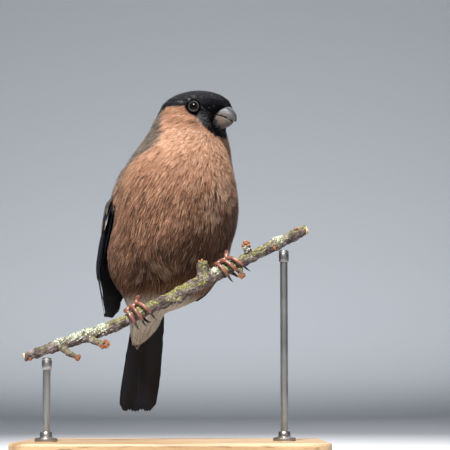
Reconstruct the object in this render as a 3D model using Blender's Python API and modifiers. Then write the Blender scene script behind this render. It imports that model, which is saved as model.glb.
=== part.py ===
"""A female bullfinch at life size, perched on a cut twig that a display stand carries.

Metres, +Z up. The origin is the middle of the underside of the stand's base. The bird's breast
faces -Y and a little +X, and its head is turned further towards +X. Sizes below are written in
millimetres and multiplied by MM. The bird's outline includes its feathers.
"""

import math

import bmesh
import bpy
import numpy as np
from mathutils import Matrix, Vector

MM = 0.001
GAP = 0.3

# The body, in level sections from the vent up to the brow. Each row holds the height, the middle
# of the section in X and Y, the half width across the bird, the depth before and behind that
# middle, and the way the bird faces there, in degrees from -Y towards +X.
BODY_ROWS = (
    (65.4, -10.8, 18.8, 7.8, 6.6, 10.6, 27),
    (68.5, -7.7, 17.2, 13.5, 11.6, 12.6, 27),
    (71.5, -5.7, 15.8, 17.3, 14.6, 14.2, 27),
    (75.0, -5.0, 14.4, 20.7, 17.6, 15.8, 27),
    (79.0, -4.6, 12.9, 23.6, 20.6, 17.2, 27),
    (84.0, -3.9, 11.0, 25.8, 23.6, 18.6, 27),
    (92.0, -2.7, 8.0, 27.2, 27.2, 20.0, 27),
    (100.0, -0.6, 5.0, 27.2, 28.6, 21.0, 27),
    (109.0, 0.8, 1.8, 26.8, 28.4, 21.4, 27),
    (117.5, 1.4, -1.4, 25.5, 26.4, 21.6, 27),
    (126.0, 2.2, -4.8, 23.2, 23.4, 22.4, 28),
    (130.0, 3.4, -6.6, 21.7, 20.8, 22.8, 32),
    (134.0, 5.3, -8.2, 19.8, 17.6, 22.8, 38),
    (138.3, 7.2, -10.0, 17.4, 15.0, 22.0, 47),
    (142.3, 8.8, -11.4, 15.2, 12.4, 20.6, 54),
    (145.7, 9.6, -12.6, 13.5, 12.2, 19.2, 58),
    (148.0, 9.9, -13.2, 12.8, 14.6, 18.0, 58),
    (149.6, 10.0, -13.6, 12.3, 16.2, 17.2, 58),
)
BODY_YAW = 27
CROWN_TOP = 157.7
CROWN_ROUNDNESS = 1.9
HEAD_FROM = 141.0
NECK_FROM = 129.0
VENT_TO = 72.0
BELLY_FROM = 75.0
SECTION_POINTS = 32
TRUNK_STEP = 3.4
NECK_STEP = 2.4
FINE_STEP = 1.6
TRUNK_CLEARANCE = 0.4

# The head's own frame: ahead, to the bird's left, and up from this point.
HEAD_MIDDLE = (10.0, -13.4, 148.0)
HEAD_YAW = 58
EYE_RADIUS = 2.7
EYE_AHEAD = 5.2
EYE_ASIDE = 9.9
EYE_ABOVE = 0.9

# The bill in profile, each point as (ahead, up) in the head's frame.
CULMEN = ((6.0, 2.6), (11.5, 3.1), (15.4, 2.2), (18.0, 0.2), (19.5, -2.4), (19.7, -4.6))
UPPER_EDGE = ((4.0, -1.3), (8.6, -1.4), (12.6, -2.0), (15.6, -2.9), (17.8, -3.9), (19.2, -5.1))
LOWER_EDGE = ((4.0, -1.6), (8.6, -1.7), (12.4, -2.3), (15.2, -3.2), (17.0, -4.1), (18.0, -4.9))
GONYS = ((4.0, -6.6), (7.6, -7.2), (11.4, -7.5), (14.4, -7.2), (16.6, -6.3), (17.9, -5.3))
UPPER_HALF_WIDTHS = (4.3, 4.3, 4.0, 3.2, 2.0, 0.7)
LOWER_HALF_WIDTHS = (4.2, 4.2, 3.8, 3.0, 1.9, 0.7)
BILL_SECTIONS = 13
BILL_SECTION_POINTS = 12
BILL_FULLNESS = 0.85
# The stretch of the face that trims the bill's root.
FACE_FROM = 132.0
FACE_TO = 154.0

# The folded wings. Each row holds the height, how far round the flank the front and the back
# edge lie, in degrees from the breast, how far the wing stands off the flank on the right and on
# the left of the bird and off its back, and the wing's thickness.
WING_ROWS = (
    (62.6, 113, 144, 12.4, 4.0, 4.4, 0.7),
    (66.0, 109, 150, 11.8, 3.9, 3.6, 1.0),
    (71.0, 106, 154, 9.2, 3.2, 2.4, 1.3),
    (77.0, 103, 158, 5.4, 2.4, 1.5, 1.7),
    (84.0, 101, 161, 2.8, 1.4, 0.8, 2.1),
    (92.0, 99, 164, 0.5, 0.5, 0.5, 2.7),
    (100.0, 99, 166, 0.5, 0.5, 0.5, 2.9),
    (109.0, 100, 167, 0.5, 0.5, 0.5, 2.7),
    (118.0, 104, 166, 0.5, 0.5, 0.5, 2.1),
    (124.0, 110, 162, 0.5, 0.5, 0.5, 1.4),
    (127.2, 120, 154, 0.5, 0.5, 0.5, 0.8),
)
WING_PARTED_AT = 104.0
# The left wing's tip is held higher, against the rump: everything below a height is drawn up.
LEFT_TIP_HEIGHT = 70.0
DRAWN_UP_BELOW = 92.0
WING_EDGE = 0.55
WING_TAPER = 0.16
WING_ROUNDNESS = 0.6
WING_STEP = 3.2
WING_COLUMNS = 11
# How far the wing's tip leans back to the tail for each millimetre that it hangs below the vent.
TIP_LEAN = (-0.14, 0.24)

# The tail, along its own line from its root under the rump to its tip.
TAIL_ROOT = (-10.2, 23.4, 78.0)
TAIL_TIP = (-18.0, 38.6, 21.6)
TAIL_HALF_WIDTHS = (4.0, 6.6, 7.6, 8.0, 8.7, 9.7, 9.9)
TAIL_THICKNESS = 2.2
TAIL_TIP_THICKNESS = 0.9
TAIL_THINNEST = 0.5
TAIL_ARCH = 1.3
TAIL_LOBES = 1.1
TAIL_LOBE_PITCH = 0.76
TAIL_CORNER = 2.6
TAIL_CORNER_FROM = 0.8
TAIL_COLUMNS = 15
TAIL_STATIONS = (0, 0.11, 0.22, 0.33, 0.44, 0.55, 0.66, 0.77, 0.88, 0.93, 0.97, 1)

# The coverts under the tail and over it, as wedges: height, middle in X and Y, half width, depth.
# Each is trimmed where it lies on the tail.
UNDERTAIL_ROWS = (
    (50.6, -18.0, 27.2, 1.2, 1.2),
    (53.4, -16.6, 27.0, 3.8, 2.8),
    (57.0, -14.8, 25.2, 5.8, 4.4),
    (61.0, -13.0, 22.8, 7.2, 6.2),
    (65.0, -11.8, 20.0, 8.0, 7.6),
)
UPPERTAIL_ROWS = (
    (50.0, -15.6, 32.2, 1.6, 0.8),
    (54.0, -15.2, 31.2, 3.8, 2.0),
    (59.0, -14.8, 29.6, 5.0, 3.2),
    (65.0, -14.4, 27.0, 5.2, 4.4),
)
COVERT_REACH = 12.0
COVERT_POINTS = 16

# The twig's middle line, left to right, with its radius at each point.
TWIG = (
    (-61.5, -19.6, 44.6, 1.9),
    (-52.5, -18.5, 47.9, 2.2),
    (-41.0, -17.1, 51.8, 2.5),
    (-29.6, -15.7, 55.8, 2.6),
    (-20.4, -14.5, 59.8, 2.5),
    (-10.4, -13.3, 65.2, 2.6),
    (-1.5, -12.1, 69.3, 2.8),
    (7.6, -11.0, 74.4, 3.0),
    (16.4, -9.9, 78.9, 3.0),
    (25.0, -8.9, 83.4, 2.5),
    (34.2, -7.7, 88.1, 2.4),
    (41.7, -6.8, 92.0, 2.6),
    (49.4, -5.9, 95.8, 2.4),
    (57.0, -5.0, 99.8, 2.2),
)
# Short spurs of the twig, each with its foot and end points and the radii at both.
SPURS = {
    "lower_left": ((-46.5, -18.5, 49.6), (-41.0, -21.5, 45.2), 1.7, 1.3),
    "lower_right": ((-35.0, -17.0, 52.8), (-28.2, -20.5, 50.0), 1.7, 1.4),
    "stub_above": ((13.0, -10.5, 77.5), (12.2, -12.4, 84.2), 2.6, 2.0),
    "stub_below": ((3.4, -11.8, 71.6), (2.6, -14.2, 67.4), 1.8, 1.4),
    "upper_right": ((32.8, -8.0, 88.0), (30.8, -9.8, 92.4), 1.8, 1.4),
}

# Legs and feet. A toe runs over the twig: its start along the twig from the ball of the foot,
# its place along the twig at the tip, and where round the twig it starts and ends, in degrees
# from the twig's near side upwards. The toes of a foot lie close together.
FOOT_BALLS = {"right": -15.2, "left": 22.6}
ANKLES = {"right": (-15.0, -2.0, 70.8), "left": (22.6, -5.0, 90.2)}
HIPS = {"right": (-12.4, 6.0, 77.0), "left": (13.0, 4.0, 93.0)}
FOOT_RISE = (0.0, 2.0, 5.6)
TARSUS_RADIUS = 1.05
ANKLE_SWELL = 1.1
# The thigh's radii from the ankle up to the hip, and how far above the ankle it starts.
THIGH_RADII = (1.6, 2.9, 3.6)
THIGH_FROM = 1.6
TOE_RADIUS = 0.85
TOE_TIP_RADIUS = 0.72
TOE_CLEARANCE = 0.42
TOES = {
    "right": {
        "inner": (1.9, 4.8, 110, -34),
        "middle": (-0.5, 0.9, 114, -56),
        "outer": (-2.8, -2.0, 110, -44),
        "hind": (0.0, 2.0, 152, 240),
    },
    "left": {
        "inner": (-3.0, -0.9, 110, -44),
        "middle": (-0.6, 3.2, 114, -56),
        "outer": (1.8, 5.8, 110, -30),
        "hind": (0.0, 2.0, 152, 240),
    },
}
TOE_STEPS = 8
CLAW_STEPS = 6
CLAW_LENGTH = 4.2
CLAW_RADIUS = 0.7
CLAW_TIP_RADIUS = 0.16
CLAW_DROP = 30
CLAW_CURL = 62

BASE_SIZE = (130.0, 92.0, 10.0)
BASE_CORNER = 8.0
BASE_EDGE = 1.2
ROD_RADIUS = 1.6
ROD_PLACES = {"left": -52.0, "right": 47.0}


def new_collection(name):
    collection = bpy.data.collections.new(name)
    bpy.context.scene.collection.children.link(collection)
    return collection


for old in list(bpy.data.objects):
    bpy.data.objects.remove(old)

PARTS = new_collection("bullfinch")
CUTTERS = new_collection("cutters")


def material(name, colour, roughness, metallic=0.0):
    found = bpy.data.materials.new(name)
    found.use_nodes = True
    shader = found.node_tree.nodes["Principled BSDF"]
    shader.inputs["Base Color"].default_value = (*colour, 1.0)
    shader.inputs["Roughness"].default_value = roughness
    shader.inputs["Metallic"].default_value = metallic
    return found


def place(name, mesh, look, collection=None):
    """Makes a mesh an object with its material, shaded smooth between its sharp edges."""
    part = bpy.data.objects.new(name, mesh)
    (collection or PARTS).objects.link(part)
    if look:
        mesh.materials.append(look)
    mesh.shade_smooth()
    mesh.set_sharp_from_angle(angle=math.radians(40))
    if collection is CUTTERS:
        part.hide_render = True
        part.display_type = "WIRE"
    return part


def smooth_value(places, values, at):
    """A smooth curve through values at rising places, which never swings past its neighbours."""
    places = np.asarray(places, float)
    values = np.asarray(values, float)
    spans = np.diff(places)
    rises = np.diff(values) / spans
    slopes = np.zeros(len(places))
    slopes[0] = rises[0]
    slopes[-1] = rises[-1]
    for i in range(1, len(places) - 1):
        if rises[i - 1] * rises[i] > 0:
            slopes[i] = 2 * rises[i - 1] * rises[i] / (rises[i - 1] + rises[i])
    i = int(np.clip(np.searchsorted(places, at) - 1, 0, len(spans) - 1))
    t = (at - places[i]) / spans[i]
    rest = 1 - t
    return float(
        values[i] * rest * rest * (1 + 2 * t)
        + values[i + 1] * t * t * (3 - 2 * t)
        + spans[i] * t * rest * (slopes[i] * rest - slopes[i + 1] * t)
    )


def smooth_row(rows, at):
    """All columns after the first of a table of rows, read smoothly at a place of the first."""
    places, *columns = zip(*rows)
    return [smooth_value(places, column, at) for column in columns]


def facing(yaw):
    """Unit vectors ahead and to the left of a bird that faces this way."""
    turn = math.radians(yaw)
    return (
        Vector((math.sin(turn), -math.cos(turn), 0)),
        Vector((math.cos(turn), math.sin(turn), 0)),
    )


def body_section(height):
    """The body's section at a height: middle, half width, depths before and behind, directions."""
    brow = BODY_ROWS[-1][0]
    x, y, half_width, before, behind, yaw = smooth_row(BODY_ROWS, min(height, brow))
    if height > brow:
        rise = (height - brow) / (CROWN_TOP - brow)
        shrink = (1 - min(rise, 1) ** CROWN_ROUNDNESS) ** (1 / CROWN_ROUNDNESS)
        half_width *= shrink
        before *= shrink
        behind *= shrink
    ahead, left = facing(yaw)
    return Vector((x, y, height)), half_width, before, behind, ahead, left


def body_point(height, degrees, off=0.0, off_back=None):
    """A point on the body or off it, this far round from the breast towards the bird's left."""
    middle, half_width, before, behind, ahead, left = body_section(height)
    turn = math.radians(degrees)
    depth = before if math.cos(turn) > 0 else behind
    depth += off if off_back is None else off_back
    return (
        middle
        + left * (half_width + off) * math.sin(turn)
        + ahead * depth * math.cos(turn)
    )


def body_ring(height, off=0.0):
    step = 360 / SECTION_POINTS
    return [body_point(height, step * i, off) for i in range(SECTION_POINTS)]


def loft(name, rings, look, collection=None):
    """A closed skin over rings of equal length; a ring of one point closes an end."""
    work = bmesh.new()
    rows = [[work.verts.new(Vector(p) * MM) for p in ring] for ring in rings]
    for low, high in zip(rows, rows[1:]):
        count = max(len(low), len(high))
        for i in range(count):
            j = (i + 1) % count
            if len(low) == 1:
                work.faces.new((low[0], high[j], high[i]))
            elif len(high) == 1:
                work.faces.new((low[i], low[j], high[0]))
            else:
                work.faces.new((low[i], low[j], high[j], high[i]))
    if len(rows[0]) > 1:
        work.faces.new(rows[0][::-1])
    if len(rows[-1]) > 1:
        work.faces.new(rows[-1])
    bmesh.ops.recalc_face_normals(work, faces=work.faces)
    mesh = bpy.data.meshes.new(name)
    work.to_mesh(mesh)
    work.free()
    return place(name, mesh, look, collection)


def levels(low, high, step):
    count = max(2, round((high - low) / step) + 1)
    return list(np.linspace(low, high, count))


def cut(part, cutter, operation="DIFFERENCE"):
    boolean = part.modifiers.new(cutter.name, "BOOLEAN")
    boolean.operation = operation
    boolean.object = cutter
    boolean.solver = "EXACT"


def tube(name, points, radii, look, collection=None, sides=2):
    """A round rod or root along points, as a curve that is then made a closed mesh."""
    curve = bpy.data.curves.new(name, "CURVE")
    curve.dimensions = "3D"
    curve.bevel_depth = MM
    curve.bevel_resolution = sides
    curve.use_fill_caps = True
    line = curve.splines.new("POLY")
    line.points.add(len(points) - 1)
    for spot, point, radius in zip(line.points, points, radii):
        spot.co = (*(Vector(point) * MM), 1)
        spot.radius = radius
    guide = bpy.data.objects.new(name + "_line", curve)
    bpy.context.scene.collection.objects.link(guide)
    bpy.context.view_layer.update()
    evaluated = guide.evaluated_get(bpy.context.evaluated_depsgraph_get())
    mesh = bpy.data.meshes.new_from_object(evaluated)
    bpy.data.objects.remove(guide)
    work = bmesh.new()
    work.from_mesh(mesh)
    bmesh.ops.remove_doubles(work, verts=work.verts, dist=0.00001)
    bmesh.ops.recalc_face_normals(work, faces=work.faces)
    work.to_mesh(mesh)
    work.free()
    mesh.name = name
    return place(name, mesh, look, collection)


# Feathers, horn, skin, wood and metal.
BUFF = material("breast_feather", (0.42, 0.24, 0.16), 0.85)
BLACK = material("black_feather", (0.012, 0.013, 0.018), 0.6)
GREY = material("mantle_feather", (0.33, 0.22, 0.16), 0.85)
WHITE = material("vent_feather", (0.72, 0.69, 0.64), 0.85)
HORN = material("bill_horn", (0.12, 0.10, 0.10), 0.45)
EYE = material("eye_dark", (0.006, 0.005, 0.005), 0.08)
TOE = material("toe_skin", (0.36, 0.20, 0.15), 0.6)
CLAW = material("claw_horn", (0.05, 0.04, 0.04), 0.4)
BARK = material("twig_bark", (0.16, 0.12, 0.09), 0.9)
OAK = material("stand_wood", (0.50, 0.38, 0.25), 0.55)
STEEL = material("stand_steel", (0.45, 0.44, 0.42), 0.35, 1.0)


def crown_rings(low):
    """Rings from a height up over the brow to the top of the crown, closer as it closes."""
    brow = BODY_ROWS[-1][0]
    rings = [body_ring(height) for height in levels(low, brow, FINE_STEP)]
    for turn in (22, 42, 60, 76):
        rise = math.sin(math.radians(turn))
        rings.append(body_ring(brow + (CROWN_TOP - brow) * rise))
    middle = body_section(CROWN_TOP)[0]
    rings.append([middle])
    return rings


def trunk_levels():
    vent = levels(BODY_ROWS[0][0], VENT_TO, FINE_STEP)
    return vent + levels(BELLY_FROM, NECK_FROM - GAP / 2, TRUNK_STEP)


def make_body():
    head = loft("head", crown_rings(HEAD_FROM + GAP / 2), BLACK)
    neck_levels = levels(NECK_FROM + GAP / 2, HEAD_FROM - GAP / 2, NECK_STEP)
    loft("neck", [body_ring(z) for z in neck_levels], GREY)
    trunk = loft("trunk", [body_ring(z) for z in trunk_levels()], BUFF)
    lowest = BODY_ROWS[0][0] - GAP
    hollow_rings = [body_ring(z, TRUNK_CLEARANCE) for z in [lowest, *trunk_levels()]]
    return head, trunk, loft("trunk_hollow", hollow_rings, None, CUTTERS)


def head_point(ahead_by, left_by, up_by):
    """A point of the head's own frame."""
    ahead, left = facing(HEAD_YAW)
    return Vector(HEAD_MIDDLE) + ahead * ahead_by + left * left_by + Vector((0, 0, up_by))


def make_eyes(head):
    for side, sign in (("left", 1), ("right", -1)):
        middle = head_point(EYE_AHEAD, sign * EYE_ASIDE, EYE_ABOVE)
        for name, radius, look, kept in (
            (f"eye_{side}", EYE_RADIUS, EYE, PARTS),
            (f"socket_{side}", EYE_RADIUS + GAP, None, CUTTERS),
        ):
            mesh = bpy.data.meshes.new(name)
            work = bmesh.new()
            bmesh.ops.create_uvsphere(work, u_segments=16, v_segments=10, radius=radius * MM)
            bmesh.ops.rotate(
                work, verts=work.verts, matrix=Matrix.Rotation(math.radians(90), 3, "X")
            )
            bmesh.ops.translate(work, verts=work.verts, vec=middle * MM)
            work.to_mesh(mesh)
            work.free()
            ball = place(name, mesh, look, kept)
            if kept is CUTTERS:
                cut(head, ball)


def bill_ring(edge, ridge, half_width):
    """A section of one half of the bill, from its cutting edge round over its ridge."""
    ring = []
    for i in range(BILL_SECTION_POINTS):
        turn = math.pi * i / (BILL_SECTION_POINTS - 1)
        bulge = max(0.0, math.sin(turn)) ** BILL_FULLNESS
        side = math.cos(turn)
        ahead_by = edge[0] + (ridge[0] - edge[0]) * bulge
        up_by = edge[1] + (ridge[1] - edge[1]) * bulge
        ring.append(head_point(ahead_by, side * half_width, up_by))
    return ring


def make_bill():
    """Each half is lofted out of the head, and a copy of the face trims its root."""
    face_levels = levels(FACE_FROM, BODY_ROWS[-1][0], FINE_STEP) + [FACE_TO]
    face = loft("face", [body_ring(z, GAP) for z in face_levels], None, CUTTERS)
    for name, edges, ridges, widths in (
        ("bill_upper", UPPER_EDGE, CULMEN, UPPER_HALF_WIDTHS),
        ("bill_lower", LOWER_EDGE, GONYS, LOWER_HALF_WIDTHS),
    ):
        rings = []
        stations = range(len(edges))
        for at in np.linspace(0, len(edges) - 1, BILL_SECTIONS):
            edge = [smooth_value(stations, [p[i] for p in edges], at) for i in (0, 1)]
            ridge = [smooth_value(stations, [p[i] for p in ridges], at) for i in (0, 1)]
            rings.append(bill_ring(edge, ridge, smooth_value(stations, widths, at)))
        half = loft(name, rings, HORN)
        cut(half, face)


def wing_point(height, degrees, off, off_back):
    """A point off the body, which also follows the body's line below its lowest section."""
    lowest = BODY_ROWS[0][0]
    point = body_point(max(height, lowest), degrees, off, off_back)
    if height < lowest:
        point.z = height
        point.x += (lowest - height) * TIP_LEAN[0]
        point.y += (lowest - height) * TIP_LEAN[1]
    return point


def wing_ring(height, sign):
    """A section of a folded wing: its inner face, then its outer face back again."""
    row_height = height
    if sign > 0 and height < DRAWN_UP_BELOW:
        share = (DRAWN_UP_BELOW - height) / (DRAWN_UP_BELOW - LEFT_TIP_HEIGHT)
        row_height = DRAWN_UP_BELOW - share * (DRAWN_UP_BELOW - WING_ROWS[0][0])
    front, back, off_right, off_left, off_back, thickness = smooth_row(WING_ROWS, row_height)
    off = off_left if sign > 0 else off_right
    inner = []
    outer = []
    for share in np.linspace(0, 1, WING_COLUMNS):
        degrees = sign * (front + (back - front) * share)
        swell = min(1.0, min(share, 1 - share) / WING_TAPER) ** WING_ROUNDNESS
        wall = WING_EDGE + (thickness - WING_EDGE) * swell
        inner.append(wing_point(height, degrees, off, off_back))
        outer.append(wing_point(height, degrees, off + wall, off_back + wall))
    return inner + outer[::-1]


def make_wings():
    for side, sign, tip in (("left", 1, LEFT_TIP_HEIGHT), ("right", -1, WING_ROWS[0][0])):
        spans = {
            "flight": (tip, WING_PARTED_AT - GAP / 2),
            "coverts": (WING_PARTED_AT + GAP / 2, WING_ROWS[-1][0]),
        }
        for part, (low, high) in spans.items():
            rings = [wing_ring(z, sign) for z in levels(low, high, WING_STEP)]
            loft(f"wing_{side}_{part}", rings, BLACK if part == "flight" else GREY)


def tail_rings(spread=0.0, before=0.0, behind=0.0):
    """Sections of a flat, slightly arched fan, whose end is cut in blunt lobes."""
    root = Vector(TAIL_ROOT)
    along = Vector(TAIL_TIP) - root
    ahead, left = facing(BODY_YAW)
    front = left.cross(along).normalized()
    if front.dot(ahead) < 0:
        front = -front
    stations = np.linspace(0, 1, len(TAIL_HALF_WIDTHS))
    rings = []
    for t in TAIL_STATIONS:
        half_width = smooth_value(stations, TAIL_HALF_WIDTHS, t)
        thickness = TAIL_THICKNESS + (TAIL_TIP_THICKNESS - TAIL_THICKNESS) * t
        near = []
        far = []
        for share in np.linspace(-1, 1, TAIL_COLUMNS):
            across = share * (half_width + spread)
            u = min(1.0, max(-1.0, across / half_width))
            lobe = TAIL_LOBES * (math.cos(2 * math.pi * u / TAIL_LOBE_PITCH) - 1)
            rounding = max(0.0, abs(u) - TAIL_CORNER_FROM) / (1 - TAIL_CORNER_FROM)
            reach = (t**6) * (lobe - TAIL_CORNER * rounding)
            middle = (
                root
                + along * t
                + along.normalized() * reach
                + left * across
                + front * TAIL_ARCH * (u * u - 0.5)
            )
            wall = max(TAIL_THINNEST, thickness * (1 - 0.5 * u * u)) / 2
            near.append(middle + front * (wall + before))
            far.append(middle - front * (wall + behind))
        rings.append(near + far[::-1])
    return rings


def make_tail(trunk_hollow):
    cut(loft("tail", tail_rings(), BLACK), trunk_hollow)
    above = loft("tail_and_above", tail_rings(COVERT_REACH, GAP, COVERT_REACH), None, CUTTERS)
    below = loft("tail_and_below", tail_rings(COVERT_REACH, COVERT_REACH, GAP), None, CUTTERS)
    ahead, left = facing(BODY_YAW)
    for name, rows, fan, look in (
        ("undertail_coverts", UNDERTAIL_ROWS, above, WHITE),
        ("uppertail_coverts", UPPERTAIL_ROWS, below, BLACK),
    ):
        rings = []
        for height, x, y, half_width, depth in rows:
            ring = []
            for i in range(COVERT_POINTS):
                turn = 2 * math.pi * i / COVERT_POINTS
                offset = left * half_width * math.sin(turn) + ahead * depth * math.cos(turn)
                ring.append(Vector((x, y, height)) + offset)
            rings.append(ring)
        cut(loft(name, rings, look), fan)


def twig_at(x):
    """The twig's middle, direction and radius where it passes a given X."""
    y, z, radius = smooth_row(TWIG, x)
    y2, z2, _ = smooth_row(TWIG, x + 0.5)
    direction = Vector((0.5, y2 - y, z2 - z)).normalized()
    return Vector((x, y, z)), direction, radius


def make_twig(trunk):
    places = np.linspace(TWIG[0][0], TWIG[-1][0], 26)
    points = []
    radii = []
    for x in places:
        middle, _, radius = twig_at(x)
        points.append(middle)
        radii.append(radius)
    perch = tube("perch", points, radii, BARK, sides=3)
    for name, (foot, end, foot_radius, end_radius) in SPURS.items():
        middle = (Vector(foot) + Vector(end)) / 2
        between = (foot_radius + end_radius) / 2
        spur = tube(
            f"spur_{name}", (foot, middle, end), (foot_radius, between, end_radius), None, CUTTERS
        )
        cut(perch, spur, "UNION")
    hollow = tube(
        "belly_hollow", points[7:-7], [radius + 2 * GAP for radius in radii[7:-7]], None, CUTTERS, 3
    )
    cut(trunk, hollow)


def toe_path(side, toe):
    """Points over the twig's bark, from the ball of the foot to the toe's end."""
    start, end, first, last = TOES[side][toe]
    path = []
    for i in range(TOE_STEPS):
        share = i / (TOE_STEPS - 1)
        x = FOOT_BALLS[side] + start + (end - start) * share
        middle, direction, radius = twig_at(x)
        turn = math.radians(first + (last - first) * share)
        near = (Vector((0, -1, 0)) + direction * direction.y).normalized()
        up = near.cross(direction).normalized()
        if up.z < 0:
            up = -up
        reach = radius + TOE_CLEARANCE + TOE_RADIUS
        path.append(middle + (near * math.cos(turn) + up * math.sin(turn)) * reach)
    return path


def claw_path(path):
    """A curved claw that carries on where a toe ends and bends in towards the twig."""
    heading = (path[-1] - path[-2]).normalized()
    inwards = twig_at(path[-1].x)[0] - path[-1]
    axis = heading.cross(inwards).normalized()
    point = path[-1] + heading * GAP
    points = [point]
    heading = Matrix.Rotation(math.radians(-CLAW_DROP), 3, axis) @ heading
    for _ in range(CLAW_STEPS - 1):
        heading = Matrix.Rotation(math.radians(CLAW_CURL / CLAW_STEPS), 3, axis) @ heading
        point = point + heading * (CLAW_LENGTH / (CLAW_STEPS - 1))
        points.append(point)
    return points


def make_legs(trunk_hollow):
    for side, ball_x in FOOT_BALLS.items():
        for toe in TOES[side]:
            path = toe_path(side, toe)
            radii = [TOE_RADIUS] * (TOE_STEPS - 1) + [TOE_TIP_RADIUS]
            tube(f"toe_{side}_{toe}", path, radii, TOE)
            claw = claw_path(path)
            radii = list(np.linspace(CLAW_RADIUS, CLAW_TIP_RADIUS, len(claw)))
            tube(f"claw_{side}_{toe}", claw, radii, CLAW, sides=1)
        ball = twig_at(ball_x)[0] + Vector(FOOT_RISE)
        ankle = Vector(ANKLES[side])
        hip = Vector(HIPS[side])
        shin = tube(
            f"tarsus_{side}",
            (ball, ball.lerp(ankle, 0.5), ankle),
            (TARSUS_RADIUS * ANKLE_SWELL, TARSUS_RADIUS, TARSUS_RADIUS * ANKLE_SWELL),
            TOE,
            sides=3,
        )
        thigh = tube(
            f"thigh_{side}",
            (ankle + (hip - ankle).normalized() * THIGH_FROM, ankle.lerp(hip, 0.5), hip),
            THIGH_RADII,
            WHITE,
            sides=3,
        )
        cut(shin, trunk_hollow)
        cut(thigh, trunk_hollow)


def make_stand():
    width, depth, height = BASE_SIZE
    mesh = bpy.data.meshes.new("stand_base")
    work = bmesh.new()
    bmesh.ops.create_cube(work, size=1)
    bmesh.ops.scale(work, verts=work.verts, vec=Vector(BASE_SIZE) * MM)
    bmesh.ops.translate(work, verts=work.verts, vec=(0, 0, height / 2 * MM))
    uprights = [e for e in work.edges if abs(e.verts[0].co.z - e.verts[1].co.z) > MM]
    bmesh.ops.bevel(
        work, geom=uprights, offset=BASE_CORNER * MM, segments=6, affect="EDGES", profile=0.5
    )
    work.to_mesh(mesh)
    work.free()
    base = place("stand_base", mesh, OAK)
    edge = base.modifiers.new("edge", "BEVEL")
    edge.width = BASE_EDGE * MM
    edge.segments = 2
    edge.limit_method = "ANGLE"
    for side, x in ROD_PLACES.items():
        middle, direction, radius = twig_at(x)
        low = height + GAP
        slope = direction.xz.normalized()
        high = middle.z - (radius + ROD_RADIUS * slope.y) / slope.x - 2 * GAP
        name = f"stand_rod_{side}"
        mesh = bpy.data.meshes.new(name)
        work = bmesh.new()
        bmesh.ops.create_cone(
            work,
            cap_ends=True,
            segments=16,
            radius1=ROD_RADIUS * MM,
            radius2=ROD_RADIUS * MM,
            depth=(high - low) * MM,
        )
        bmesh.ops.translate(
            work, verts=work.verts, vec=(x * MM, middle.y * MM, (low + high) / 2 * MM)
        )
        work.to_mesh(mesh)
        work.free()
        place(name, mesh, STEEL)


HEAD, TRUNK, TRUNK_HOLLOW = make_body()
make_eyes(HEAD)
make_bill()
make_wings()
make_tail(TRUNK_HOLLOW)
make_twig(TRUNK)
make_legs(TRUNK_HOLLOW)
make_stand()
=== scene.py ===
"""Looks of a female bullfinch at life size, on a cut twig that a plain display stand carries.

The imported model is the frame. Metres, +Z up. Sizes are written in millimetres and multiplied by MM.
"""

import math

import bmesh
import bpy
import numpy as np
from mathutils import Matrix, Vector
from mathutils.bvhtree import BVHTree


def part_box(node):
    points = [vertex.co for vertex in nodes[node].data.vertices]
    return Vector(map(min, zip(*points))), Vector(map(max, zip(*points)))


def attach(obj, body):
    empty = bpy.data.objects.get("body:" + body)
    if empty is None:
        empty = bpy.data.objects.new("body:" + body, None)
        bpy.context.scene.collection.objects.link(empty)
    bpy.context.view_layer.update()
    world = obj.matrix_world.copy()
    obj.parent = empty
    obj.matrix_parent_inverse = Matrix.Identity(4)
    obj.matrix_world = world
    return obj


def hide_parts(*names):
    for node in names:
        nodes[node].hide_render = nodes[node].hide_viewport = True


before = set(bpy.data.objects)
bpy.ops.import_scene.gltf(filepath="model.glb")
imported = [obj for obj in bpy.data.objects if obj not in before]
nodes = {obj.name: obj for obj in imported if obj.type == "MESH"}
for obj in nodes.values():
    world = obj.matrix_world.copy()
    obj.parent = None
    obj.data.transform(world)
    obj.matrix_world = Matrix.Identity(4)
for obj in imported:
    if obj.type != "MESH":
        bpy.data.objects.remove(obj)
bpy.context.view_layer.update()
MM = 0.001
bpy.ops.object.select_all(action="DESELECT")

# The studio. The camera looks slightly up at the bird, as one looks at a bird on a high twig. The
# floor is pale and curves up all round into a pale backdrop. A small lamp stands high in front, a
# weak one fills from the bird's left, one behind lifts the outline and one lights the backdrop.
CAMERA_PLACE = (22.0, -716.1, 26.7)
CAMERA_TILT = 96.0
CAMERA_LENS = 133.95
CAMERA_SENSOR = 36.0
STUDIO_MIDDLE = (8.0, 0.0, 95.0)
BACKDROP_MIDDLE = (8.0, 2300.0, 500.0)
LAMPS = {
    "key": ((-130.0, -640.0, 860.0), 150.0, 1.65, (1.0, 0.95, 0.88), 40.0),
    "fill": ((600.0, -700.0, 260.0), 600.0, 0.12, (0.86, 0.93, 1.0), 90.0),
    "back": ((260.0, 520.0, 900.0), 500.0, 2.4, (0.93, 0.96, 1.0), 120.0),
    "backdrop": ((8.0, 900.0, 700.0), 900.0, 5.0, (0.94, 0.97, 1.0), 160.0),
}
FLOOR_RADIUS = 0.7
BACKDROP_BEND = 1.6


def point_at(thing, target):
    thing.rotation_euler = (Vector(target) - thing.location).to_track_quat("-Z", "Y").to_euler()


camera_data = bpy.data.cameras.new("camera")
camera_data.lens = CAMERA_LENS
camera_data.sensor_width = CAMERA_SENSOR
camera_data.clip_start = 0.01
camera = bpy.data.objects.new("camera", camera_data)
camera.location = Vector(CAMERA_PLACE) * MM
camera.rotation_euler = (math.radians(CAMERA_TILT), 0, 0)
bpy.context.scene.collection.objects.link(camera)
bpy.context.scene.camera = camera

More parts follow.
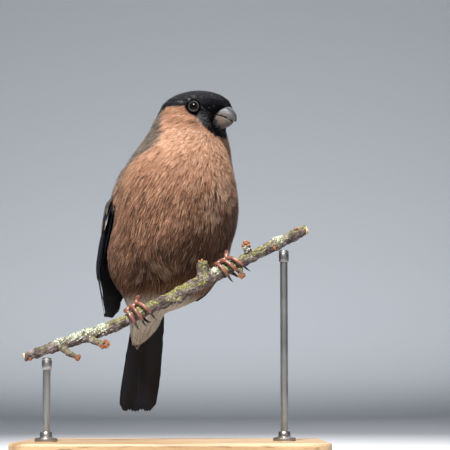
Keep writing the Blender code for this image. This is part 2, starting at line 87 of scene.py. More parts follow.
for name, (place, size, power, colour, spread) in LAMPS.items():
    lamp_data = bpy.data.lights.new(name, "AREA")
    lamp_data.size = size * MM
    lamp_data.energy = power
    lamp_data.color = colour
    lamp_data.spread = math.radians(spread)
    lamp = bpy.data.objects.new(name, lamp_data)
    lamp.location = Vector(place) * MM
    bpy.context.scene.collection.objects.link(lamp)
    point_at(lamp, Vector(BACKDROP_MIDDLE if name == "backdrop" else STUDIO_MIDDLE) * MM)
    lamp.visible_camera = False

world = bpy.data.worlds.new("studio")
world.use_nodes = True
world.node_tree.nodes["Background"].inputs["Color"].default_value = (0.80, 0.84, 0.90, 1)
world.node_tree.nodes["Background"].inputs["Strength"].default_value = 0.18
bpy.context.scene.world = world
bpy.context.scene.view_settings.view_transform = "Standard"


def new_material(name, colour, roughness, **sockets):
    """A Principled material; further sockets are set by name, with _ for a space."""
    made = bpy.data.materials.new(name)
    made.use_nodes = True
    shader = made.node_tree.nodes["Principled BSDF"]
    shader.inputs["Base Color"].default_value = (*colour, 1)
    shader.inputs["Roughness"].default_value = roughness
    for socket, value in sockets.items():
        shader.inputs[socket.replace("_", " ")].default_value = value
    return made


def floor_profile():
    """Radius and height of the floor from its middle out and up into the backdrop."""
    points = [(0.0, 0.0), (FLOOR_RADIUS, 0.0)]
    for step in range(1, 13):
        turn = math.radians(90 * step / 12)
        points.append(
            (FLOOR_RADIUS + BACKDROP_BEND * math.sin(turn), BACKDROP_BEND * (1 - math.cos(turn)))
        )
    return points


floor_mesh = bmesh.new()
profile = [floor_mesh.verts.new((radius, 0, height)) for radius, height in floor_profile()]
profile_edges = [floor_mesh.edges.new(pair) for pair in zip(profile, profile[1:])]
bmesh.ops.spin(
    floor_mesh,
    geom=profile + profile_edges,
    cent=(0, 0, 0),
    axis=(0, 0, 1),
    angle=math.tau,
    steps=64,
    use_merge=True,
)
bmesh.ops.remove_doubles(floor_mesh, verts=floor_mesh.verts, dist=0.0001)
bmesh.ops.recalc_face_normals(floor_mesh, faces=floor_mesh.faces)
floor_data = bpy.data.meshes.new("studio_floor")
floor_mesh.to_mesh(floor_data)
floor_mesh.free()
floor_data.shade_smooth()
floor = bpy.data.objects.new("studio_floor", floor_data)
bpy.context.scene.collection.objects.link(floor)
floor_data.materials.append(new_material("studio_pale", (0.68, 0.70, 0.73), 0.9))


# The skin. One closed skin stands for all the flesh: head, neck, trunk, thighs and the flesh under
# the coverts of the tail. It is made from copies of their solids, swollen until they meet, remade
# as one surface, smoothed and drawn in by the depth of the coat, so that no joint shows.
FLESH = (
    "head",
    "neck",
    "trunk",
    "thigh_left",
    "thigh_right",
    "undertail_coverts",
    "uppertail_coverts",
)
SHOULDER_FROM = 109.0
SKIN_SWELL = 0.5
SKIN_VOXEL = 0.85
SKIN_SMOOTHING = 6
BILL_ROOT = (20.5, -20.0, 146.5)
# Depth of the coat, against distance from the bill's root.
DEPTH_PLACES = (4.0, 12.0, 24.0, 40.0, 85.0)
DEPTHS = (0.35, 0.6, 1.0, 1.5, 1.3)


def merged_copy(name, *sources):
    """A new object from copies of CAD nodes, with their loose triangles merged."""
    work = bmesh.new()
    for source in sources:
        work.from_mesh(nodes[source].data)
    bmesh.ops.remove_doubles(work, verts=work.verts, dist=0.001 * MM)
    mesh = bpy.data.meshes.new(name)
    work.to_mesh(mesh)
    work.free()
    piece = bpy.data.objects.new(name, mesh)
    bpy.context.scene.collection.objects.link(piece)
    return piece


def add_modifier(piece, kind, **settings):
    modifier = piece.modifiers.new(kind.lower(), kind)
    for setting, value in settings.items():
        setattr(modifier, setting, value)
    return modifier


def apply_modifiers(piece):
    bpy.context.view_layer.objects.active = piece
    for modifier in list(piece.modifiers):
        bpy.ops.object.modifier_apply(modifier=modifier.name)


def triangulate(mesh):
    work = bmesh.new()
    work.from_mesh(mesh)
    bmesh.ops.triangulate(work, faces=work.faces)
    work.to_mesh(mesh)
    work.free()


def read_points(mesh, layer="vertices", field="co", width=3, kind=np.float32):
    items = getattr(mesh, layer)
    values = np.empty(len(items) * width, kind)
    items.foreach_get(field, values)
    return values.reshape(-1, width)


def from_bill(points):
    """Distance in millimetres from the bill's root."""
    return np.linalg.norm(points / MM - np.array(BILL_ROOT), axis=1)


def add_wing_top(piece, side):
    """Adds the flesh under the shoulder's feathers, a copy of the upper end of a wing's coverts."""
    work = bmesh.new()
    work.from_mesh(nodes[f"wing_{side}_coverts"].data)
    bmesh.ops.remove_doubles(work, verts=work.verts, dist=0.001 * MM)
    bmesh.ops.bisect_plane(
        work,
        geom=work.verts[:] + work.edges[:] + work.faces[:],
        plane_co=(0, 0, SHOULDER_FROM * MM),
        plane_no=(0, 0, 1),
        clear_inner=True,
    )
    bmesh.ops.holes_fill(work, edges=[edge for edge in work.edges if edge.is_boundary])
    top = bpy.data.meshes.new("shoulder")
    work.to_mesh(top)
    work.free()
    work = bmesh.new()
    work.from_mesh(piece.data)
    work.from_mesh(top)
    work.to_mesh(piece.data)
    work.free()
    bpy.data.meshes.remove(top)


skin = merged_copy("skin", *FLESH)
for side in ("left", "right"):
    add_wing_top(skin, side)
add_modifier(skin, "DISPLACE", strength=SKIN_SWELL * MM, mid_level=0.0)
add_modifier(skin, "REMESH", mode="VOXEL", voxel_size=SKIN_VOXEL * MM)
add_modifier(skin, "SMOOTH", factor=0.5, iterations=SKIN_SMOOTHING)
add_modifier(skin, "DISPLACE", strength=-0.8 * SKIN_SWELL * MM, mid_level=0.0)
apply_modifiers(skin)
triangulate(skin.data)

# A fold runs down across the belly, where the feathers of one side lie over the other, and the
# fluffed feathers swell in soft waves.
FOLD = (
    (-15.0, -14.6, 90.0),
    (-10.8, -13.2, 84.9),
    (-7.6, -11.0, 81.7),
    (-4.3, -6.9, 77.8),
    (1.0, 1.0, 72.8),
)
FOLD_RISE = 0.85
FOLD_REACH = 6.0
FOLD_SINK = 0.55
FOLD_SINK_REACH = 2.6
WAVES = 0.28
WAVE_SPAN = 15.0


def unit(vectors):
    return vectors / np.maximum(np.linalg.norm(vectors, axis=-1, keepdims=True), 1e-12)


def soft_step(value, low, high):
    share = np.clip((value - low) / (high - low), 0, 1)
    return share * share * (3 - 2 * share)


def wander(points, scale, seed):
    """A smooth irregular value, mostly from -1 to 1, that changes over this many millimetres."""
    rng = np.random.default_rng(seed)
    total = np.zeros(len(points))
    for _ in range(5):
        direction = rng.normal(size=3)
        direction *= rng.uniform(0.6, 1.6) / np.linalg.norm(direction)
        total += np.sin(points / MM @ direction * math.tau / scale + rng.uniform(0, math.tau))
    return total / 2.5


def beside_fold(points, normals):
    """How far each point lies from the fold, above it if positive, and from its nearest point."""
    spots = points / MM
    nearest = np.full(len(spots), np.inf)
    beside = np.zeros(len(spots))
    for start, end in zip(np.array(FOLD), np.array(FOLD[1:])):
        run = end - start
        share = np.clip((spots - start) @ run / (run @ run), 0, 1)
        offset = spots - (start + share[:, None] * run)
        span = np.linalg.norm(offset, axis=1)
        over = unit(np.cross(normals, run))
        closer = span < nearest
        nearest = np.where(closer, span, nearest)
        beside = np.where(closer, (offset * over).sum(1), beside)
    return beside, nearest


def relief(points, normals):
    """How far the coat stands out from its plain surface, in millimetres."""
    beside, nearest = beside_fold(points, normals)
    stray = np.sqrt(np.maximum(nearest**2 - beside**2, 0))
    fade = np.exp(-((stray / 2.5) ** 2))
    above = FOLD_RISE * np.exp(-((beside / FOLD_REACH) ** 2)) * soft_step(beside, -0.35, 0.5)
    below = FOLD_SINK * np.exp(-((beside / FOLD_SINK_REACH) ** 2)) * soft_step(-beside, -0.5, 0.35)
    squashed = points * np.array((1.0, 1.0, 0.6))
    calm = soft_step(from_bill(points), 22, 40)
    return fade * (above - below) + calm * WAVES * wander(squashed, WAVE_SPAN, 3)


# The outer surface, out to the tips of the feathers, is kept to lay the coat on.
outer = read_points(skin.data).astype(float)
outer_normals = read_points(skin.data, "vertex_normals", "vector").astype(float)
outer = outer + outer_normals * relief(outer, outer_normals)[:, None] * MM
skin.data.vertices.foreach_set("co", outer.astype(np.float32).ravel())
skin.data.update()
outer_normals = read_points(skin.data, "vertex_normals", "vector").astype(float)
outer_faces = read_points(skin.data, "polygons", "vertices", 3, np.int32)
outer_tree = BVHTree.FromPolygons([Vector(p) for p in outer], outer_faces.tolist())
coat_depth = np.interp(from_bill(outer), DEPTH_PLACES, DEPTHS)[:, None] * MM
skin_points = (outer - outer_normals * coat_depth).astype(np.float32)
skin.data.vertices.foreach_set("co", skin_points.ravel())
skin.data.shade_smooth()

bpy.context.view_layer.objects.active = skin
skin.select_set(True)
bpy.ops.object.mode_set(mode="EDIT")
bpy.ops.mesh.select_all(action="SELECT")
bpy.ops.uv.smart_project(angle_limit=math.radians(66), island_margin=0.004)
bpy.ops.object.mode_set(mode="OBJECT")
skin.select_set(False)
skin.data.uv_layers[0].name = "OFBake"
corner_map = np.empty(len(skin.data.loops) * 2, np.float32)
skin.data.uv_layers["OFBake"].data.foreach_get("uv", corner_map)
corner_map = corner_map.reshape(-1, 3, 2)
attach(skin, "root")
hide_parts(*FLESH)


# The markings, which the skin and the coat share: a black cap that takes in the face, the eye and
# a small bib, a grey-brown nape and mantle, a white rump and vent, and a warm brown breast. They
# are worked out from where a point lies on the bird.
HEAD_MIDDLE = (10.0, -13.4, 148.0)
HEAD_YAW = 58.0
BODY_YAW = 27.0
# The lower edge of the cap, from the nape to the bib, in the head's own frame: ahead and up.
CAP_AHEAD = (-20.0, -12.1, -8.4, -3.6, 1.0, 2.2, 3.5, 5.4, 6.8, 7.3, 7.9, 8.6, 9.6, 10.4, 11.5)
CAP_UP = (-1.5, 0.6, 2.2, 1.8, 1.2, 0.2, -1.5, -2.8, -3.7, -4.9, -6.6, -8.2, -9.2, -10.6, -11.4)
# How far round from the breast the grey begins on each side, in degrees, against height.
GREY_HEIGHTS = (80.0, 108.0, 118.0, 125.0, 128.4, 131.5, 134.6, 138.0, 141.0, 144.0, 149.0)
GREY_FROM = (112.0, 104.0, 100.0, 95.0, 84.0, 68.0, 70.0, 76.0, 92.0, 110.0, 136.0)
VENT_HEIGHT = 70.5
RUMP_TOP = 85.0
# The coverts over the tail, behind its plane and below this height, are black.
COVERT_TOP = 73.5
TAIL_PLACE = (-10.2, 23.4, 78.0)
TAIL_FRONT = (0.435, -0.853, -0.290)
# The brown's tone against height: it falls towards the belly, partly the breast's own colour and partly
# painted shade of the lower belly.
TONE_HEIGHTS = (68.0, 78.0, 92.0, 108.0, 116.0, 124.0, 132.0, 138.0, 143.0, 150.0)
TONES = (0.12, 0.16, 0.22, 0.32, 0.42, 0.60, 0.76, 0.80, 0.56, 0.46)
PALE_PATCHES = (
    ((21.0, -16.0, 118.0), (5.0, 8.0, 10.0)),
    ((17.0, -19.0, 106.0), (5.0, 8.0, 5.0)),
    ((-8.0, -11.0, 82.0), (5.0, 5.0, 3.5)),
)
# Patches of painted shade on the lower breast, the belly and the right side, and how far that painted
# shade lowers the tone.
PAINTED_SHADE_PATCHES = (
    ((11.0, -14.0, 90.0), (13.0, 12.0, 9.0)),
    ((-3.0, -17.0, 88.0), (8.0, 9.0, 5.0)),
    ((16.0, -18.0, 111.0), (7.0, 8.0, 4.0)),
    ((-14.0, -10.0, 80.0), (6.0, 8.0, 5.0)),
    ((22.0, -10.0, 104.0), (4.0, 8.0, 10.0)),
    ((-7.0, -17.0, 128.0), (8.0, 9.0, 5.5)),
)
PAINTED_SHADE_DEPTH = 0.22


def facing(yaw):
    """Unit vectors ahead of and to the left of a bird that faces this way."""
    turn = math.radians(yaw)
    return (
        np.array((math.sin(turn), -math.cos(turn), 0.0)),
        np.array((math.cos(turn), math.sin(turn), 0.0)),
    )


HEAD_AHEAD, HEAD_LEFT = facing(HEAD_YAW)
section_heights = np.arange(66.0, 158.0, 4.0)
section_rings = [outer[np.abs(outer[:, 2] / MM - height) < 2.5] for height in section_heights]
section_middles = np.array([(ring.min(0) + ring.max(0)) / 2 for ring in section_rings])


def head_frame(points):
    """Millimetres ahead, to the left and up in the head's own frame."""
    offset = points / MM - np.array(HEAD_MIDDLE)
    return offset @ HEAD_AHEAD, offset @ HEAD_LEFT, offset[:, 2]


def round_body(points):
    """Degrees round the body from the breast, positive to the bird's left, and the height."""
    height = points[:, 2] / MM
    middle_x = np.interp(height, section_heights, section_middles[:, 0])
    middle_y = np.interp(height, section_heights, section_middles[:, 1])
    yaw = np.interp(height, (126.0, 146.0), (BODY_YAW, HEAD_YAW))
    turned = np.degrees(np.arctan2(points[:, 0] - middle_x, middle_y - points[:, 1]))
    return (turned - yaw + 180) % 360 - 180, height


def markings(points):
    """How black, grey and white the bird is at each point, the rest being brown, and its tone, which
    carries painted shade low on the belly and in patches.
    """
    ahead, left, up = head_frame(points)
    degrees, height = round_body(points)
    ragged = 0.30 * wander(points, 2.6, 1) + 0.20 * wander(points, 1.1, 2)
    black = soft_step(up + ragged - np.interp(ahead, CAP_AHEAD, CAP_UP), -0.3, 0.3)
    black *= height > 134
    behind = (np.array(TAIL_PLACE) - points / MM) @ np.array(TAIL_FRONT)
    covert = soft_step(behind, 0.5, 2.0) * soft_step(COVERT_TOP + 2 * ragged - height, -1.5, 1.5)
    black = np.maximum(black, covert)
    grey_from = np.interp(height, GREY_HEIGHTS, GREY_FROM) + 6 * ragged
    grey = soft_step(np.abs(degrees) - grey_from, -8, 10) * (1 - black)
    low = soft_step(VENT_HEIGHT + 2.0 * ragged - height, -3, 3)
    rump = soft_step(np.abs(degrees), 138, 150)
    rump *= soft_step(RUMP_TOP + 2 * ragged - height, -2, 2)
    white = np.maximum(low, rump) * (1 - black)
    # Painted shade: the tone falls towards the belly, partly the brown's own colour and partly shade,
    # and is lowered further near the middles of the shade patches.
    tone = np.interp(height, TONE_HEIGHTS, TONES) + 0.05 * wander(points, 9.0, 5)
    tone = tone - PAINTED_SHADE_DEPTH * patchiness(points, PAINTED_SHADE_PATCHES)
    return np.stack([black, grey * (1 - white), white, np.clip(tone, 0, 1)], axis=1)


def patchiness(points, patches):
    """From 0 to 1, how near each point is to the middle of one of these patches."""
    nearest = np.zeros(len(points))
    for middle, reach in patches:
        span = np.linalg.norm((points / MM - np.array(middle)) / np.array(reach), axis=1)
        nearest = np.maximum(nearest, np.exp(-(span**2)))
    return nearest


def add_marks(mesh, name, values):
    """Keeps four values at each vertex as a colour attribute."""
    layer = mesh.attributes.new(name, "FLOAT_COLOR", "POINT")
    layer.data.foreach_set("color", np.ascontiguousarray(values, np.float32).ravel())


def value_ramp(tree, source, stops):
    """A colour ramp on a value, from pairs of place and colour."""
    ramp = tree.nodes.new("ShaderNodeValToRGB")
    elements = ramp.color_ramp.elements
    while len(elements) < len(stops):
        elements.new(0.5)
    for element, (place, colour) in zip(elements, stops):
        element.position = place
        element.color = (*colour, 1)
    tree.links.new(source, ramp.inputs["Fac"])
    return ramp.outputs["Color"]


def mixed(tree, share, first, second, blend="MIX"):
    """A colour mix node; the share and either colour are a socket or a plain value."""
    mix = tree.nodes.new("ShaderNodeMix")
    mix.data_type = "RGBA"
    mix.blend_type = blend
    for socket, value in ((mix.inputs[0], share), (mix.inputs[6], first), (mix.inputs[7], second)):
        if isinstance(value, bpy.types.NodeSocket):
            tree.links.new(value, socket)
        elif isinstance(value, tuple):
            socket.default_value = (*value, 1)
        else:
            socket.default_value = value
    return mix.outputs[2]


def maths(tree, operation, *values):
    """A maths node; each value is a socket or a number."""
    node = tree.nodes.new("ShaderNodeMath")
    node.operation = operation
    for socket, value in zip(node.inputs, values):
        if isinstance(value, bpy.types.NodeSocket):
            tree.links.new(value, socket)
        else:
            socket.default_value = value
    return node.outputs[0]


def noise(tree, place, scale, detail=3.0, roughness=0.5):
    node = tree.nodes.new("ShaderNodeTexNoise")
    node.inputs["Scale"].default_value = scale
    node.inputs["Detail"].default_value = detail
    node.inputs["Roughness"].default_value = roughness
    tree.links.new(place, node.inputs["Vector"])
    return node.outputs["Fac"]


def new_group(name, inputs, outputs):
    """An empty shader group with named sockets, given as pairs of name and kind."""
    tree = bpy.data.node_groups.new(name, "ShaderNodeTree")
    for label, kind in inputs:
        tree.interface.new_socket(label, in_out="INPUT", socket_type="NodeSocket" + kind)
    for label, kind in outputs:
        tree.interface.new_socket(label, in_out="OUTPUT", socket_type="NodeSocket" + kind)
    return tree, tree.nodes.new("NodeGroupInput").outputs, tree.nodes.new("NodeGroupOutput").inputs


# The plumage's colours. Each kind of feather runs from its dark root to its paler tip, and each
# tuft has a tone of its own.
BROWN = (
    (0.0, (0.040, 0.020, 0.013)),
    (0.3, (0.16, 0.080, 0.048)),
    (0.55, (0.30, 0.155, 0.098)),
    (0.8, (0.46, 0.265, 0.175)),
    (1.0, (0.62, 0.41, 0.29)),
)
GREY = (
    (0.0, (0.04, 0.032, 0.028)),
    (0.5, (0.090, 0.069, 0.056)),
    (1.0, (0.26, 0.22, 0.195)),
)
WHITE = ((0.0, (0.12, 0.105, 0.09)), (0.5, (0.46, 0.43, 0.385)), (1.0, (0.70, 0.67, 0.62)))
BLACK = ((0.0, (0.002, 0.002, 0.003)), (0.6, (0.004, 0.0045, 0.007)), (1.0, (0.010, 0.012, 0.019)))
# Grey flecks of the face and stray pale locks on the black, and the painted glints on the crown.
BLUE_FLECK_AND_GLINT = (0.34, 0.34, 0.37)
PALE_TIP = (0.66, 0.49, 0.37)

plumage, given, put = new_group(
    "plumage",
    (("Zones", "Color"), ("Tone", "Float"), ("Strand", "Color")),
    (("Color", "Color"), ("Roughness", "Float")),
)
zones = plumage.nodes.new("ShaderNodeSeparateColor")
strand = plumage.nodes.new("ShaderNodeSeparateColor")
plumage.links.new(given["Zones"], zones.inputs["Color"])
plumage.links.new(given["Strand"], strand.inputs["Color"])
along, own_tone, pale = (strand.outputs[channel] for channel in ("Red", "Green", "Blue"))
rooted = maths(plumage, "MULTIPLY", maths(plumage, "SUBTRACT", along, 0.62), 0.26)
own_swing = maths(plumage, "MULTIPLY", maths(plumage, "SUBTRACT", own_tone, 0.5), 0.85)
toned = maths(plumage, "ADD", own_swing, rooted)
# The tone kept with the marks carries the painted shade of the belly and of the shade patches.
brown_tone = maths(plumage, "ADD", given["Tone"], toned)
half_tone = maths(plumage, "ADD", 0.5, maths(plumage, "MULTIPLY", toned, 1.3))
colour = value_ramp(plumage, brown_tone, BROWN)
colour = mixed(plumage, maths(plumage, "MULTIPLY", pale, along), colour, PALE_TIP)
colour = mixed(plumage, zones.outputs["Green"], colour, value_ramp(plumage, half_tone, GREY))
colour = mixed(plumage, zones.outputs["Blue"], colour, value_ramp(plumage, half_tone, WHITE))
# The black turns blue-grey towards the tips of pale barbs: real grey flecks, and painted glints on the
# crown.
fleck_and_glint_share = maths(plumage, "MULTIPLY", pale, along)
flecked_and_glinting = mixed(plumage, fleck_and_glint_share, value_ramp(plumage, half_tone, BLACK), BLUE_FLECK_AND_GLINT)
colour = mixed(plumage, zones.outputs["Red"], colour, flecked_and_glinting)
plumage.links.new(colour, put["Color"])
dulled = maths(plumage, "SUBTRACT", 0.86, maths(plumage, "MULTIPLY", zones.outputs["Red"], 0.24))
plumage.links.new(dulled, put["Roughness"])


def plumage_material(name, **sockets):
    """A feather material that reads the marks kept on the mesh."""
    made = new_material(name, (0.3, 0.2, 0.15), 0.85, **sockets)
    tree = made.node_tree
    colours = tree.nodes.new("ShaderNodeGroup")
    colours.node_tree = plumage
    zone_marks = tree.nodes.new("ShaderNodeAttribute")
    zone_marks.attribute_name = "zones"
    strand_marks = tree.nodes.new("ShaderNodeAttribute")
    strand_marks.attribute_name = "strand"
    tree.links.new(zone_marks.outputs["Color"], colours.inputs["Zones"])
    tree.links.new(zone_marks.outputs["Alpha"], colours.inputs["Tone"])
    tree.links.new(strand_marks.outputs["Color"], colours.inputs["Strand"])
    shader = tree.nodes["Principled BSDF"]
    tree.links.new(colours.outputs["Color"], shader.inputs["Base Color"])
    tree.links.new(colours.outputs["Roughness"], shader.inputs["Roughness"])
    return made


soft_plumage = plumage_material(
    "soft_plumage", Specular_IOR_Level=0.18, Sheen_Weight=0.10, Sheen_Roughness=0.5
)
soft_shader = soft_plumage.node_tree.nodes["Principled BSDF"]
soft_shader.inputs["Sheen Tint"].default_value = (1.0, 0.86, 0.76, 1)
black_plumage = plumage_material("black_plumage", Specular_IOR_Level=0.10)

add_marks(skin.data, "zones", markings(skin_points))
add_marks(skin.data, "strand", np.tile((0.15, 0.45, 0.0, 1.0), (len(skin_points), 1)))
skin.data.materials.append(soft_plumage)


# The plumage itself. Each feather is a tuft of flat, pointed barbs, rooted in the skin, that fan
# out and lie back along the bird from the bill towards the tail. The feathers are smallest at the
# bill and longest on the belly. One piece holds one region of the coat.
EYE_RADIUS = 2.7
EYE_AHEAD = 5.2
EYE_ASIDE = 9.9
EYE_ABOVE = 0.9
EYE_AXIS = (0.40, 0.91, 0.05)
LID_HALF_ANGLE = 50.0
LENGTH_PLACES = (4.0, 8.0, 14.0, 22.0, 35.0, 60.0, 90.0)
LENGTHS = (1.2, 1.8, 2.7, 4.2, 6.2, 7.8, 8.6)
TUFT_WIDTH = 0.34
TUFT_SPACING = (0.15, 0.16)
BARBS = 14
LOCKS = 7
LOCK_GATHER = 0.62
BARB_WIDTH = (0.050, 0.015)
BARB_STATIONS = np.array((0.0, 0.35, 0.7, 1.0))
BARB_WIDTHS = np.array((0.55, 1.0, 0.72))
PATCH = 0.003
TO_TAIL = (-0.247, 0.45, -0.856)
# Where the feathers are parted and lie another way: middle, reach, and the way they turn.
TURNS = (
    ((-6.0, -13.0, 84.0), (8.0, 8.0, 7.0), (1.1, 0.0, -0.3)),
    ((-19.0, -9.0, 82.0), (9.0, 9.0, 9.0), (-0.7, 0.0, -0.3)),
    ((8.0, -16.0, 96.0), (8.0, 9.0, 9.0), (-0.35, 0.0, 0.0)),
    ((-20.0, -12.0, 106.0), (7.0, 9.0, 12.0), (0.30, 0.0, 0.0)),
)
COAT_SEED = 11
MALAR = (((13.6, -24.0, 144.2), (3.4, 4.0, 4.0)),)
RUFFLES = (
    ((20.0, -16.0, 116.0), (7.0, 9.0, 13.0)),
    ((-8.0, -12.0, 83.0), (8.0, 7.0, 4.0)),
    ((11.0, 3.0, 79.0), (9.0, 11.0, 4.5)),
)


def head_point(ahead, left, up):
    """A point of the head's own frame, in metres."""
    middle = np.array(HEAD_MIDDLE) + HEAD_AHEAD * ahead + HEAD_LEFT * left
    return (middle + np.array((0, 0, up))) * MM


EYES = {}
for side, sign in (("left", 1), ("right", -1)):
    axis = HEAD_AHEAD * EYE_AXIS[0] + HEAD_LEFT * sign * EYE_AXIS[1]
    EYES[side] = (
        head_point(EYE_AHEAD, sign * EYE_ASIDE, EYE_ABOVE),
        unit(axis + np.array((0, 0, EYE_AXIS[2]))),
    )


def settle(points):
    """The nearest places on the outer surface, with smooth normals there."""
    found = [outer_tree.find_nearest(place) for place in points.tolist()]
    places = np.array([hit[0] for hit in found])
    corners = outer_faces[[hit[2] for hit in found]]
    spans = np.linalg.norm(outer[corners] - places[:, None], axis=2)
    shares = 1 / np.maximum(spans, 1e-7)
    shares /= shares.sum(1, keepdims=True)
    return places, unit((outer_normals[corners] * shares[..., None]).sum(1))


def lie(points, normals):
    """The way the feathers lie at each point: back from the bill, then down to the tail."""
    away = unit(points / MM - np.array(BILL_ROOT))
    share = soft_step(from_bill(points), 14, 58)[:, None]
    flow = away * (1 - share) + unit(np.array(TO_TAIL)) * share
    for middle, reach, way in TURNS:
        flow = flow + patchiness(points, ((middle, reach),))[:, None] * np.array(way)
    for middle, axis in EYES.values():
        offset = (points - middle) / MM
        span = np.linalg.norm(offset, axis=1, keepdims=True)
        flow = flow + unit(offset) * 1.6 * np.exp(-(((span - 2.6) / 1.5) ** 2))
    return unit(flow - normals * (flow * normals).sum(1, keepdims=True))


def tuft_roots(rng):
    """Roots spread evenly over the outer surface, closer together where the feathers are small."""
    corners = outer[outer_faces]
    sides = np.cross(corners[:, 1] - corners[:, 0], corners[:, 2] - corners[:, 0])
    length = np.interp(from_bill(corners.mean(1)), LENGTH_PLACES, LENGTHS)
    spacing = (TUFT_SPACING[0] + TUFT_SPACING[1] * length) * MM
    weights = np.linalg.norm(sides, axis=1) / 2 / spacing**2
    count = int(3.2 * weights.sum())
    chosen = rng.choice(len(weights), count, p=weights / weights.sum())
    first = np.sqrt(rng.random(count))
    second = rng.random(count)
    shares = np.stack([1 - first, first * (1 - second), first * second], axis=1)
    places = (corners[chosen] * shares[..., None]).sum(1)
    gaps = 0.82 * spacing[chosen]
    cell = 1.6 * MM
    kept = []
    cells = {}
    reach = [(x, y, z) for x in (-1, 0, 1) for y in (-1, 0, 1) for z in (-1, 0, 1)]
    keys = np.floor(places / cell).astype(int).tolist()
    spots = places.tolist()
    for i, ((kx, ky, kz), spot) in enumerate(zip(keys, spots)):
        gap = gaps[i]
        near = any(
            abs(other[0] - spot[0]) < gap
            and abs(other[1] - spot[1]) < gap
            and abs(other[2] - spot[2]) < gap
            for x, y, z in reach
            for other in cells.get((kx + x, ky + y, kz + z), ())
        )
        if not near:
            kept.append(i)
            cells.setdefault((kx, ky, kz), []).append(spot)
    return chosen[kept], shares[kept]


def barb_lines(rng, roots, normals, length, depth, lift, count):
    """Centre lines of the barbs of each tuft, the surface's normals there, and barb lengths."""
    forward = lie(roots, normals)
    sideways = np.cross(normals, forward)
    forward = unit(forward + sideways * rng.normal(0, 0.09, (len(roots), 1)))
    sideways = np.cross(normals, forward)
    spread = np.linspace(-1, 1, count) + rng.normal(0, 0.06, (len(roots), count))
    lock = np.arange(count) * LOCKS // count
    lock_middle = np.array([np.linspace(-1, 1, count)[lock == i].mean() for i in range(LOCKS)])
    lock_middle = (lock_middle + rng.normal(0, 0.10, (len(roots), LOCKS)))[:, lock]
    lock_reach = rng.uniform(0.68, 1.12, (len(roots), LOCKS))[:, lock]
    reach = length[:, None] * (1 - 0.2 * spread**2) * lock_reach * rng.uniform(0.85, 1.05, spread.shape)
    t = BARB_STATIONS
    along = reach[..., None] * t
    gather = LOCK_GATHER * t**1.4
    aside = spread[..., None] * (1 - gather) + lock_middle[..., None] * gather
    aside = TUFT_WIDTH / 2 * length[:, None, None] * aside * np.sin(t * math.pi / 2) ** 0.8
    lines = roots[:, None, None] + forward[:, None, None] * along[..., None] * MM
    lines = lines + sideways[:, None, None] * aside[..., None] * MM
    places, up = settle(lines.reshape(-1, 3))
    up = up.reshape(lines.shape)
    rise = -1.1 * depth[:, None, None] * (1 - t) ** 1.3 + lift[:, None, None] * t
    rise = rise + rng.normal(0, 0.03, spread.shape)[..., None] * t
    rise = rise + rng.normal(0, 0.08, (len(roots), LOCKS))[:, lock][..., None] * t
    return places.reshape(lines.shape) + up * rise[..., None] * MM, up, reach


def barb_mesh(name, lines, up, width, patch, along, marks, strand):
    """One mesh of barbs: two quads and a point each, with their map and their marks."""
    number = len(lines)
    run = unit(lines[:, 1:] - lines[:, :-1])
    run = np.concatenate([run, run[:, -1:]], axis=1)
    across = unit(np.cross(up, run))
    half = (width[:, None] * BARB_WIDTHS)[..., None] / 2 * MM
    left = lines[:, :3] - across[:, :3] * half
    right = lines[:, :3] + across[:, :3] * half
    points = np.concatenate([left, right, lines[:, 3:]], axis=1).reshape(-1, 3)
    first = 7 * np.arange(number)[:, None]
    quads = first[..., None] + np.array(((0, 3, 4, 1), (1, 4, 5, 2)))
    tips = first + np.array((2, 5, 6))
    loops = np.concatenate([quads.reshape(number, 8), tips], axis=1).ravel()
    starts = (11 * np.arange(number)[:, None] + np.array((0, 4, 8))).ravel()
    mesh = bpy.data.meshes.new(name)
    mesh.vertices.add(len(points))
    mesh.vertices.foreach_set("co", points.astype(np.float32).ravel())
    mesh.loops.add(len(loops))
    mesh.loops.foreach_set("vertex_index", loops.astype(np.int32))
    mesh.polygons.add(len(starts))
    mesh.polygons.foreach_set("loop_start", starts.astype(np.int32))
    mesh.update(calc_edges=True)
    mesh.shade_smooth()
    column = np.array((0, 0, 0, 1, 1, 1, 0.5))
    row = np.array((0, 0.35, 0.7, 0, 0.35, 0.7, 1.0))
    corner = patch[:, None] + np.stack(
        [along[:, :1] + column * along[:, 1:2], np.broadcast_to(row * PATCH, (number, 7))], axis=2
    )
    mesh.uv_layers.new(name="OFBake")
    barb_map = corner.reshape(-1, 2)[loops].astype(np.float32)
    mesh.uv_layers["OFBake"].data.foreach_set("uv", barb_map.ravel())
    add_marks(mesh, "zones", np.repeat(marks, 7, axis=0))
    strands = np.repeat(strand[:, None], 7, axis=1).copy()
    strands[..., 0] = row
    add_marks(mesh, "strand", strands.reshape(-1, 4))
    piece = bpy.data.objects.new(name, mesh)
    bpy.context.scene.collection.objects.link(piece)
    return piece


# How strongly locks and barbs differ in tone, by height: less on the black head.
CONTRAST_HEIGHTS = (112, 134)
CONTRASTS = (1.05, 0.85)
# One lock in twenty is a stray pale one, except this near the bill.
STRAY_SHARE = 0.05
STRAY_FROM_BILL = 16
CROWN_SHEEN_FROM = (150.5, 152.5)
EYE_CLEARANCE = 0.12
LID_REACH = 5.5

rng = np.random.default_rng(COAT_SEED)
chosen, shares = tuft_roots(rng)
corners = outer_faces[chosen]
roots = (outer[corners] * shares[..., None]).sum(1)
root_normals = unit((outer_normals[corners] * shares[..., None]).sum(1))
root_map = (corner_map[chosen] * shares[..., None]).sum(1)
distance = from_bill(roots)
length = np.interp(distance, LENGTH_PLACES, LENGTHS) * rng.uniform(0.85, 1.15, len(roots))
depth = np.interp(distance, DEPTH_PLACES, DEPTHS)
ruffled = patchiness(roots, RUFFLES)
lift = rng.uniform(0.04, 0.14, len(roots)) + 0.8 * ruffled * rng.random(len(roots))
count = BARBS
lines, up, reach = barb_lines(rng, roots, root_normals, length, depth, lift, count)

